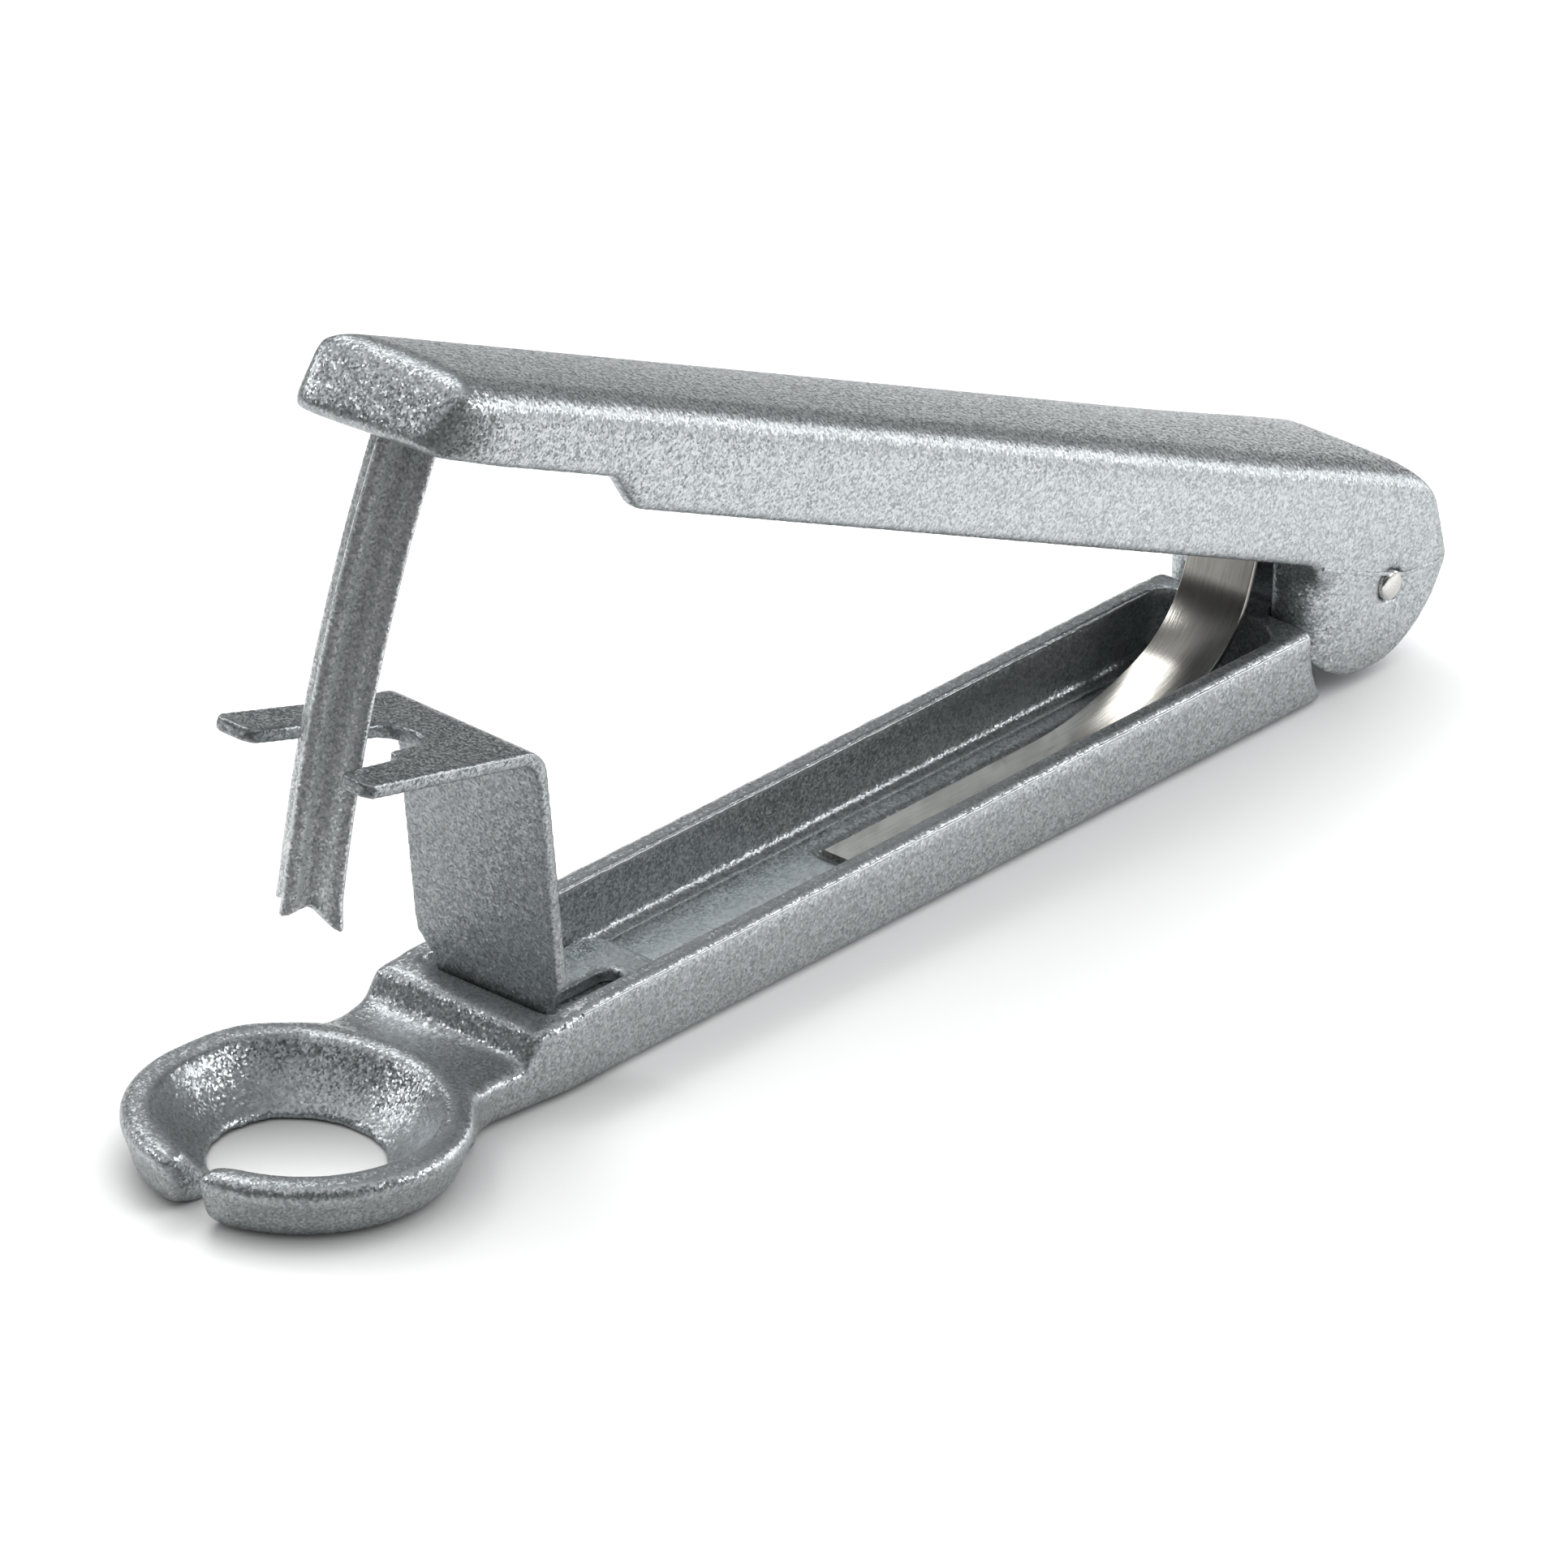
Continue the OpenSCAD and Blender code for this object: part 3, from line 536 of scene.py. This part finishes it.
def bend_fork(settings):
    """Tilts the stripper up towards its far side, widens it there, and bends the fork's tines apart."""
    low, high = (Vector(corner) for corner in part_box("stripper"))

    def shape(mesh, points):
        x, y, z = points.T.copy()
        across = (y - low.y) / (high.y - low.y)
        points[:, 2] += settings.tilt * across * fade_in(z, (TILT_START, high.z - TILT_BELOW_TOP))
        points[:, 1] += settings.far_edge * fade_in(y, FAR_EDGE_BESIDE) * fade_in(z, FAR_EDGE_HEIGHT)
        along = np.clip(1 - (x - low.x) / TINE_LENGTH, 0, 1) * (z > high.z - TINE_HEIGHT)
        far, near = along * fade_in(y, TINE_BESIDE), along * fade_in(-y, TINE_BESIDE)
        points[:, 2] += settings.lift * far
        points[:, 1] += settings.flare * far
        points[:, 1] -= settings.near_flare * near * (y - low.y) / (NEAR_TINE_EDGE - low.y)
        return points
    return shape


# Plunger: distances from its middle line at which its hollows start and end, how sharply they end at the
# ribs, the ribs' reach, the length of the teeth, and the part of the tip that its middle is taken from
HOLLOW_START = span(1, 2.4)
HOLLOW_END = span(4, 5)
HOLLOW_POWER = 1.5
RIB_REACH = 3.6 * MM
TOOTH_LENGTH = 3.5 * MM
TIP_LENGTH = 3 * MM

# Plunger: how far from the tip's middle the wear of each tooth fades in, and the far tooth's share of it
FRONT_TOOTH = span(0.9, 1.8)
FAR_TOOTH = span(1, 2.4)
NEAR_TOOTH = span(0.8, 2)
FAR_TOOTH_WEAR = 0.7


def wear_plunger(settings):
    """Deepens the hollows between the plunger's ribs, draws out the near rib and shortens the teeth.

    The front rib is left with the shortest, bluntest tooth.
    """
    low = Vector(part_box("plunger")[0])

    def shape(mesh, points):
        x, y, z = points.T.copy()
        reach = np.hypot(x - PIN.x, z - PIN.z)
        rise = reach - np.median(reach)
        away = np.maximum(np.hypot(rise, y), SHORTEST)
        diagonal = np.abs(2 * rise * y) / away ** 2
        depth = settings.valley * diagonal ** HOLLOW_POWER * between(away, HOLLOW_START, HOLLOW_END)
        points -= (depth / away)[:, None] * np.stack([
            rise * (x - PIN.x) / reach, y, rise * (z - PIN.z) / reach], axis=1)
        points[:, 1] -= settings.near_rib * np.clip(-y / RIB_REACH, 0, 1) ** 2
        tooth = np.clip(1 - (z - low.z) / TOOTH_LENGTH, 0, 1)
        middle = np.mean(x[z < low.z + TIP_LENGTH])
        worn = np.maximum(fade_in(middle - x, FRONT_TOOTH), FAR_TOOTH_WEAR * fade_in(y, FAR_TOOTH))
        points[:, 2] += (settings.short_tip + settings.blunt * worn) * tooth
        points[:, 1] -= settings.near_tip * tooth * fade_in(-y, NEAR_TOOTH)
        return points
    return shape


def lever_point(x, y, z):
    """A point of the lever's own frame, in millimetres from the pin, as a place in the part."""
    c, s = math.cos(OPEN_ANGLE), math.sin(OPEN_ANGLE)
    return PIN + Vector((x * c + z * s, y, -x * s + z * c)) * MM


# Leaf spring: where its leg ends on the channel floor, from the pin along X and up, and its slope after the
# rise and after the lower bend
FLOOR_LEG_END = (-37.46 * MM, -8.2 * MM)
RISE_SLOPE = math.radians(24)
BEND_SLOPE = math.radians(73)


def strip_path(settings):
    """Middle line of the leaf spring, from the channel floor to its end inside the lever."""
    point = Vector((FLOOR_LEG_END[0] - settings.floor_leg, FLOOR_LEG_END[1]))
    heading = 0.0
    path = [point.copy()]

    def go(distance, steps):
        for _ in range(steps):
            point.x += distance / steps * math.cos(heading)
            point.y += distance / steps * math.sin(heading)
            path.append(point.copy())

    def bend(radius, to, steps):
        nonlocal heading
        turn = (to - heading) / steps
        for _ in range(steps):
            chord = 2 * radius * math.sin(turn / 2)
            point.x += chord * math.cos(heading + turn / 2)
            point.y += chord * math.sin(heading + turn / 2)
            heading += turn
            path.append(point.copy())

    go(settings.floor_leg, steps=12)
    bend(settings.rise_radius, RISE_SLOPE, steps=24)
    bend(settings.bend_radius, BEND_SLOPE, steps=32)
    go(settings.straight, steps=6)
    bend(settings.fold_radius, math.pi - OPEN_ANGLE, steps=24)
    go(settings.top_leg, steps=12)
    return [PIN + Vector((p.x, 0, p.y)) for p in path]


def path_object(name, points):
    """A poly curve through the points, for a sweep to follow."""
    data = bpy.data.curves.new(name, "CURVE")
    data.dimensions = "3D"
    spline = data.splines.new("POLY")
    spline.points.add(len(points) - 1)
    for target, point in zip(spline.points, points):
        target.co = (*point, 1)
    path = bpy.data.objects.new(name, data)
    bpy.context.collection.objects.link(path)
    return path


def sweep_tree(name, material):
    """Geometry nodes that sweep a rounded rectangle along a curve; width, thickness and radius are inputs."""
    tree = bpy.data.node_groups.new(name, "GeometryNodeTree")
    sockets = {"Geometry": "NodeSocketGeometry", "Width": "NodeSocketFloat", "Thickness": "NodeSocketFloat",
               "Radius": "NodeSocketFloat"}
    for label, kind in sockets.items():
        tree.interface.new_socket(label, in_out="INPUT", socket_type=kind)
    tree.interface.new_socket("Geometry", in_out="OUTPUT", socket_type="NodeSocketGeometry")
    given = add_node(tree, "NodeGroupInput").outputs
    outline = add_node(tree, "GeometryNodeCurvePrimitiveQuadrilateral", {
        "Width": given["Width"], "Height": given["Thickness"]})
    rounded = add_node(tree, "GeometryNodeFilletCurve", {
        "Curve": outline.outputs[0], "Radius": given["Radius"], "Count": 4}, mode="POLY")
    swept = add_node(tree, "GeometryNodeCurveToMesh", {
        "Curve": given["Geometry"], "Profile Curve": rounded.outputs[0], "Fill Caps": True})
    single = add_node(tree, "GeometryNodeRealizeInstances", {"Geometry": swept.outputs[0]})
    painted = add_node(tree, "GeometryNodeSetMaterial", {"Geometry": single.outputs[0], "Material": material})
    add_node(tree, "NodeGroupOutput", {"Geometry": painted.outputs[0]})
    return tree


def swept_piece(name, points, sizes, material):
    """A plain mesh swept along the points, with its normals outwards and its caps joined on."""
    path = path_object(name + "_path", points)
    modifier = path.modifiers.new("Sweep", "NODES")
    tree = sweep_tree(name + "_sweep", material)
    for item in tree.interface.items_tree:
        if item.in_out == "INPUT" and item.name in sizes:
            modifier[item.identifier] = sizes[item.name]
    modifier.node_group = tree
    mesh = evaluated(path, name)
    bpy.data.objects.remove(path)
    form = bmesh.new()
    form.from_mesh(mesh)
    bmesh.ops.remove_doubles(form, verts=form.verts, dist=JOIN_DISTANCE)
    bmesh.ops.recalc_face_normals(form, faces=form.faces)
    form.to_mesh(mesh)
    form.free()
    return new_object(name, mesh, material)


def lathe(name, profile, centre, material, steps=64):
    """A turned piece about a line along Y through centre; profile holds pairs of radius and place along Y."""
    form = bmesh.new()
    rim = [form.verts.new((centre.x + radius, centre.y + along, centre.z)) for radius, along in profile]
    edges = [form.edges.new(pair) for pair in zip(rim, rim[1:])]
    bmesh.ops.spin(form, geom=rim + edges, cent=centre, axis=(0, 1, 0), angle=2 * math.pi, steps=steps)
    bmesh.ops.remove_doubles(form, verts=form.verts, dist=JOIN_DISTANCE)
    bmesh.ops.recalc_face_normals(form, faces=form.faces)
    mesh = bpy.data.meshes.new(name)
    form.to_mesh(mesh)
    form.free()
    return new_object(name, mesh, material)


# Fins: length of their steps, and how far they stray at each step for their height
FIN_STEP = 0.8 * MM
FIN_STRAY = 0.2


def flash_line(name, corners, height, material, seed):
    """A thin fin, half sunk in the casting, along a slightly uneven line through the corners."""
    random = np.random.default_rng(seed)
    points = []
    for start, end in zip(corners, corners[1:]):
        steps = max(2, int((end - start).length / FIN_STEP))
        for i in range(steps):
            stray = Vector(random.uniform(-FIN_STRAY, FIN_STRAY, 3)) * height
            points.append(start.lerp(end, i / steps) + stray)
    points.append(corners[-1])
    sizes = {"Width": 2 * height, "Thickness": 2 * height, "Radius": height / 2}
    return swept_piece(name, points, sizes, material)


# Fins of the arm: their front ends before the stripper's rear end, their rear ends before the pin, and for
# each how far behind the others it starts, its place across the arm and its height, in millimetres, and
# whether it carries a painted highlight in the flake colour
FINS_BEFORE_STRIPPER_END = 20 * MM
FINS_BEFORE_PIN = 12.5 * MM
ARM_FINS = ((0, -9.3, 7.75, True), (0, 9.3, 7.8, True), (0, 7.5, 7.95, True), (21, 5.95, 1.7, False))

# Fin of the lever: its corners on the far side, from before the pin to the heel, in millimetres from the
# pin in the lever's own frame
LEVER_FIN = [(-12, 9.55, 0.95), (-4, 9.55, 0.9), (1.5, 9.55, 1.25), (6.6, 9.5, 2.75), (7.9, 8.9, 3.2)]


class PITTER_OT_lower_arm(bpy.types.Operator):
    """Adds the cast lower arm with its channel, neck and cup"""
    bl_idname = "pitter.lower_arm"
    bl_label = "Lower arm"

    def execute(self, context):
        settings = context.scene.pitter_casting
        paint = flake_paint("Flake_Lacquer_On_Casting", settings.paint, settings.flake, settings.flake_size)
        arm = soft_piece("lower_arm", settings.mesh_size, settings.edge_rounds, paint, melt_neck(settings))
        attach(arm, "arm")
        front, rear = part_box("stripper")[1][0] - FINS_BEFORE_STRIPPER_END, PIN.x - FINS_BEFORE_PIN
        # Painted highlight: the bright fins take the flake colour all over, for the highlight lines on the
        # wall tops
        painted_highlight_paint = flake_paint("Painted_Highlight_On_Fins", settings.flake, settings.flake, settings.flake_size)
        for seed, (start, y, z, has_painted_highlight) in enumerate(ARM_FINS):
            corners = [Vector((x, y * MM, z * MM)) for x in (front + start * MM, rear)]
            tone = painted_highlight_paint if has_painted_highlight else paint
            line = flash_line(f"Arm_Flash_{seed + 1}", corners, settings.flash_height, tone, seed)
            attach(line, "arm")
        return {"FINISHED"}


class PITTER_OT_lever(bpy.types.Operator):
    """Adds the cast lever and the thin fin along its parting line"""
    bl_idname = "pitter.lever"
    bl_label = "Lever"

    def execute(self, context):
        settings = context.scene.pitter_casting
        paint = flake_paint("Flake_Lacquer_On_Ground_Casting", settings.paint, settings.flake,
                            settings.flake_size, brushed=True)
        lever = soft_piece("lever", settings.mesh_size, settings.edge_rounds, paint, shape_lever(settings))
        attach(lever, "lever")
        loop = [(x, -y, z) for x, y, z in LEVER_FIN] + LEVER_FIN[::-1]
        corners = [lever_point(*corner) for corner in loop]
        line = flash_line("Lever_Flash", corners, settings.flash_height, paint, seed=7)
        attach(line, "lever")
        return {"FINISHED"}


class PITTER_OT_plunger(bpy.types.Operator):
    """Adds the curved plunger with its four ribs"""
    bl_idname = "pitter.plunger"
    bl_label = "Plunger"

    def execute(self, context):
        settings = context.scene.pitter_casting
        # Painted light: a lighter copy of the casting's lacquer, for the light on the plunger
        paint = flake_paint("Flake_Lacquer_Painted_Lighter_On_Plunger", settings.plunger_paint_painted_lighter, settings.plunger_flake_painted_lighter,
                            settings.flake_size)
        plunger = soft_piece("plunger", settings.plunger_mesh_size, settings.edge_rounds, paint,
                             wear_plunger(settings))
        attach(plunger, "lever")
        return {"FINISHED"}


class PITTER_OT_stripper(bpy.types.Operator):
    """Adds the bent sheet stripper with its fork"""
    bl_idname = "pitter.stripper"
    bl_label = "Stripper"

    def execute(self, context):
        casting = context.scene.pitter_casting
        settings = context.scene.pitter_stripper
        paint = flake_paint("Flake_Lacquer_On_Sheet", settings.paint, settings.flake, casting.flake_size)
        stripper = soft_piece("stripper", settings.mesh_size, settings.edge_rounds, paint,
                              bend_fork(settings))
        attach(stripper, "arm")
        return {"FINISHED"}


class PITTER_OT_leaf_spring(bpy.types.Operator):
    """Adds the leaf spring that holds the arms open"""
    bl_idname = "pitter.leaf_spring"
    bl_label = "Leaf spring"

    def execute(self, context):
        settings = context.scene.pitter_spring
        steel = brushed_steel("Brushed_Spring_Steel", settings.steel, grain=(0.05, 1, 0.05), roughness=0.22)
        sizes = {"Width": settings.width, "Thickness": settings.thickness, "Radius": settings.edge_radius}
        spring = swept_piece("Leaf_Spring", strip_path(settings), sizes, steel)
        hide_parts("leaf_spring")
        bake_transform(spring)
        return {"FINISHED"}


class PITTER_OT_hinge_pin(bpy.types.Operator):
    """Adds the hinge pin with its domed ends"""
    bl_idname = "pitter.hinge_pin"
    bl_label = "Hinge pin"

    def execute(self, context):
        settings = context.scene.pitter_pin
        steel = brushed_steel("Bright_Turned_Steel", settings.steel, grain=(1, 0.2, 1), roughness=0.2)
        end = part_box("hinge_pin")[1][1] - settings.dome
        turns = [math.radians(angle) for angle in range(0, 91, 10)]
        dome = [(settings.radius * math.cos(t), end + settings.dome * math.sin(t)) for t in turns]
        profile = [(r, -along) for r, along in reversed(dome)] + dome
        pin = lathe("Hinge_Pin", profile, PIN, steel)
        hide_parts("hinge_pin")
        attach(pin, "lever")
        return {"FINISHED"}


def camera_axes(settings):
    """Right, up and backward directions of the camera."""
    a, e, r = settings.azimuth, settings.elevation, settings.roll
    back = Vector((math.sin(a) * math.cos(e), -math.cos(a) * math.cos(e), math.sin(e)))
    level = Vector((math.cos(a), math.sin(a), 0))
    steep = back.cross(level)
    return math.cos(r) * level + math.sin(r) * steep, math.cos(r) * steep - math.sin(r) * level, back


def add_camera(settings):
    """The camera at the photograph's angle, with the pin off the middle of the picture."""
    right, up, back = camera_axes(settings)
    data = bpy.data.cameras.new("Camera")
    data.sensor_width = 36
    data.lens = settings.lens
    data.clip_end = 50
    camera = bpy.data.objects.new("Camera", data)
    place = PIN - settings.pin_right * right - settings.pin_up * up + settings.distance * back
    turn = Matrix((right, up, back)).transposed().to_4x4()
    camera.matrix_world = Matrix.Translation(place) @ turn
    bpy.context.collection.objects.link(camera)
    bpy.context.scene.camera = camera


def add_softbox(name, place, target, size, power, matt):
    """A rectangular area light that faces the target; with matt off it shows only in what shines."""
    data = bpy.data.lights.new(name, "AREA")
    data.shape = "RECTANGLE"
    data.size, data.size_y = size
    data.energy = power
    light = bpy.data.objects.new(name, data)
    light.location = place
    light.visible_diffuse = matt
    light.rotation_euler = (Vector(target) - Vector(place)).to_track_quat("-Z", "Y").to_euler()
    bpy.context.collection.objects.link(light)


# Level directions: from the part towards the camera, and towards the front of the floor
TO_CAMERA = (-0.77, -0.64, 0)
TO_FRONT = (-0.64, -0.77, 0)

# Tones of the room that shiny surfaces reflect, from straight down at -1 to straight up at 1
ROOM_TONES = (
    (-1.0, "#3A3A3B"), (-0.05, "#3A3A3B"), (0.0, "#F0F0F0"), (0.06, "#D8D8D8"), (0.12, "#3E3F41"),
    (0.5, "#4A4B4D"), (0.68, "#929395"), (0.8, "#DCDDDE"), (1.0, "#EEEEEE"))

# Brightness of that room elsewhere and behind the camera, and of the dome that lights what is matt, on the
# part's far side and on the camera's side
ROOM_LIGHT = (1.0, 0.4)
DOME_LIGHT = (2.3, 0.5)


def add_world():
    """White behind the part for the camera, and a white dome, brighter behind the part, on everything matt.

    What shines reflects a room with a pale horizon, grey walls and a pale ceiling, darker behind the camera.
    """
    world = bpy.data.worlds.new("Studio")
    bpy.context.scene.world = world
    world.use_nodes = True
    world.cycles.sampling_method = "NONE"
    tree = world.node_tree
    tree.nodes.clear()
    path = add_node(tree, "ShaderNodeLightPath").outputs
    direction = add_node(tree, "ShaderNodeTexCoord").outputs["Generated"]
    height = add_node(tree, "ShaderNodeSeparateXYZ", {0: direction}).outputs["Z"]
    room = add_node(tree, "ShaderNodeValToRGB", {0: map_range(tree, height, (-1, 1))})
    ramp = room.color_ramp.elements
    for place, tone in ROOM_TONES[1:-1]:
        ramp.new((place + 1) / 2).color = linear(tone)
    ramp[0].color = linear(ROOM_TONES[0][1])
    ramp[-1].color = linear(ROOM_TONES[-1][1])
    toward = vector_maths(tree, "DOT_PRODUCT", direction, TO_CAMERA, output="Value")
    dimmed = scaled(tree, room.outputs[0], map_range(tree, toward, (0.3, 0.9), ROOM_LIGHT))
    dome = map_range(tree, toward, (-0.7, 0.7), DOME_LIGHT)
    white = colour_mix(tree, path["Is Diffuse Ray"], (1, 1, 1, 1), dome)
    plain = maths(tree, "MAXIMUM", path["Is Camera Ray"], path["Is Diffuse Ray"])
    shown = colour_mix(tree, plain, dimmed, white)
    sky = add_node(tree, "ShaderNodeBackground", {"Color": shown, "Strength": 1.0})
    add_node(tree, "ShaderNodeOutputWorld", {"Surface": sky.outputs[0]})


# Painted shade on the paper close to the cup: reach of that shade, the shares of open air between which it
# lightens, its tones there, and where along X it ends
NEAR_SHADE_REACH = 16 * MM
OPEN_AIR = (0.4, 0.85)
NEAR_SHADE_TONES = (0.66, 1.0)
NEAR_SHADE_END = span(-50, -32)

# Painted shade on the paper in the cup's hole: the cup's middle behind the arm's front end, the distance
# from it within which that shade keeps, the level direction of the hole's far wall, where towards it the
# shade deepens, and its tones
CUP_MIDDLE = 16.2 * MM
HOLE_SHADE_REACH = 11 * MM
TO_FAR_WALL = (0.6, 0.8, 0)
HOLE_SHADE = span(-3, 8)
HOLE_TONES = (1.0, 0.42)

# Paper as the paint reflects it, with painted light and shade: how bright its painted glow is on the right,
# where beside the middle plane and along X that glow fades in, where towards the floor's front the painted
# shade deepens, and that shade's strength
GLOW = 0.72
GLOW_BESIDE = span(12, 40)
GLOW_ALONG = span(-40, 20)
FRONT_SHADE = span(45, 120)
FRONT_STRENGTH = (0.2, 0.9)


def painted_hole_shade(tree, place):
    """Painted shade on the paper inside the cup's hole, deeper towards its far wall."""
    cup = Vector((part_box("lower_arm")[0][0] + CUP_MIDDLE, 0, 0))
    from_cup = vector_maths(tree, "SUBTRACT", place, cup)
    distance = vector_maths(tree, "LENGTH", from_cup, output="Value")
    outside = maths(tree, "GREATER_THAN", distance, HOLE_SHADE_REACH)
    far = vector_maths(tree, "DOT_PRODUCT", from_cup, TO_FAR_WALL, output="Value")
    return maths(tree, "MAXIMUM", map_range(tree, far, HOLE_SHADE, HOLE_TONES), outside)


def pale_floor(settings):
    """Matt white paper that keeps the part's soft shadow, with painted shade close to the cup and in its
    hole.

    In what the paint reflects, its right side has a painted glow and its front has painted shade.
    """
    material, tree, shader = new_material("White_Paper", Roughness=0.9)
    shader.inputs["Specular IOR Level"].default_value = 0.0
    reflected = add_node(tree, "ShaderNodeLightPath").outputs["Is Glossy Ray"]
    place = add_node(tree, "ShaderNodeTexCoord").outputs["Object"]
    parts = add_node(tree, "ShaderNodeSeparateXYZ", {0: place}).outputs
    # Painted shade: the paper's colour is darkened close to the cup and in its hole
    near_cup = add_node(tree, "ShaderNodeAmbientOcclusion", {"Distance": NEAR_SHADE_REACH}, samples=8)
    open_air = map_range(tree, near_cup.outputs["AO"], OPEN_AIR, NEAR_SHADE_TONES)
    away = map_range(tree, parts["X"], NEAR_SHADE_END, smooth=True)
    painted_shades = maths(tree, "MULTIPLY", maths(tree, "MAXIMUM", open_air, away), painted_hole_shade(tree, place))
    tree.links.new(scaled(tree, settings.floor[:3], painted_shades), shader.inputs["Base Color"])
    # Painted light: a glow on the paper's right side, seen only in reflections
    beside = map_range(tree, maths(tree, "ABSOLUTE", parts["Y"], 0), GLOW_BESIDE, smooth=True)
    right = map_range(tree, parts["X"], GLOW_ALONG, smooth=True)
    painted_glow_share = maths(tree, "MULTIPLY", maths(tree, "MULTIPLY", beside, right), reflected)
    painted_glow = add_node(tree, "ShaderNodeEmission", {
        "Color": settings.floor, "Strength": maths(tree, "MULTIPLY", painted_glow_share, GLOW)})
    lit = add_node(tree, "ShaderNodeAddShader", {0: shader.outputs[0], 1: painted_glow.outputs[0]})
    # Painted shade: the paper's front darkened, seen only in reflections
    forward = vector_maths(tree, "DOT_PRODUCT", place, TO_FRONT, output="Value")
    front = map_range(tree, forward, FRONT_SHADE, FRONT_STRENGTH, smooth=True)
    shade = maths(tree, "MULTIPLY", front, reflected)
    shown = add_node(tree, "ShaderNodeMixShader", {0: shade, 1: lit.outputs[0]})
    output = next(node for node in tree.nodes if node.type == "OUTPUT_MATERIAL")
    tree.links.new(shown.outputs[0], output.inputs["Surface"])
    return material


# Soft lamps: name, place and target in metres, size, power in watts, and whether matt surfaces see the lamp
LAMPS = (
    ("Far", (0.33, 0.6, 0.78), (0, 0, 0), (0.4, 0.3), 1.7, True),
    ("Far_left", (-0.32, 0.82, 0.5), (0, 0, 0), (0.2, 0.2), 1.5, False),
    ("Right", (0.57, -0.72, 0.34), (0, 0, 0.01), (0.25, 0.22), 2.7, False),
    ("Low_right", (0.85, -0.25, 0.24), (0, 0, 0.04), (0.4, 0.34), 1.5, False))


class PITTER_OT_stage(bpy.types.Operator):
    """Adds the floor, the soft lights and the camera"""
    bl_idname = "pitter.stage"
    bl_label = "Stage"

    def execute(self, context):
        settings = context.scene.pitter_stage
        context.scene.view_settings.view_transform = "Standard"
        form = bmesh.new()
        middle = settings.floor_edge - settings.floor_size / 2
        bmesh.ops.create_grid(form, x_segments=1, y_segments=1, size=settings.floor_size / 2,
                              matrix=Matrix.Translation((middle, middle, 0)))
        mesh = bpy.data.meshes.new("Floor")
        form.to_mesh(mesh)
        form.free()
        new_object("Floor", mesh, pale_floor(settings))
        add_world()
        for lamp in LAMPS:
            add_softbox(*lamp)
        add_camera(settings)
        return {"FINISHED"}


PIECES = (PITTER_OT_lower_arm, PITTER_OT_lever, PITTER_OT_plunger, PITTER_OT_stripper,
          PITTER_OT_leaf_spring, PITTER_OT_hinge_pin, PITTER_OT_stage)
SETTINGS = {"pitter_casting": CastingSettings, "pitter_stripper": StripperSettings,
            "pitter_spring": SpringSettings, "pitter_pin": PinSettings, "pitter_stage": StageSettings}


class PITTER_PT_sidebar(bpy.types.Panel):
    """Lists the pieces and their sizes and colours"""
    bl_idname = "PITTER_PT_sidebar"
    bl_label = "Cherry pitter"
    bl_space_type = "VIEW_3D"
    bl_region_type = "UI"
    bl_category = "Pitter"

    def draw(self, context):
        for piece in PIECES:
            self.layout.operator(piece.bl_idname)
        for name in SETTINGS:
            group = getattr(context.scene, name)
            box = self.layout.box()
            for key in group.__annotations__:
                box.prop(group, key)


def register():
    """Registers the classes and puts their settings on the scene."""
    for item in (*SETTINGS.values(), *PIECES, PITTER_PT_sidebar):
        bpy.utils.register_class(item)
    for name, group in SETTINGS.items():
        setattr(bpy.types.Scene, name, PointerProperty(type=group))


def unregister():
    """Takes the settings and classes away again."""
    for name in SETTINGS:
        delattr(bpy.types.Scene, name)
    for item in reversed((*SETTINGS.values(), *PIECES, PITTER_PT_sidebar)):
        bpy.utils.unregister_class(item)


def main():
    """Builds every piece and the stage."""
    register()
    for piece in PIECES:
        group, name = piece.bl_idname.split(".")
        getattr(getattr(bpy.ops, group), name)()


if __name__ == "__main__":
    main()
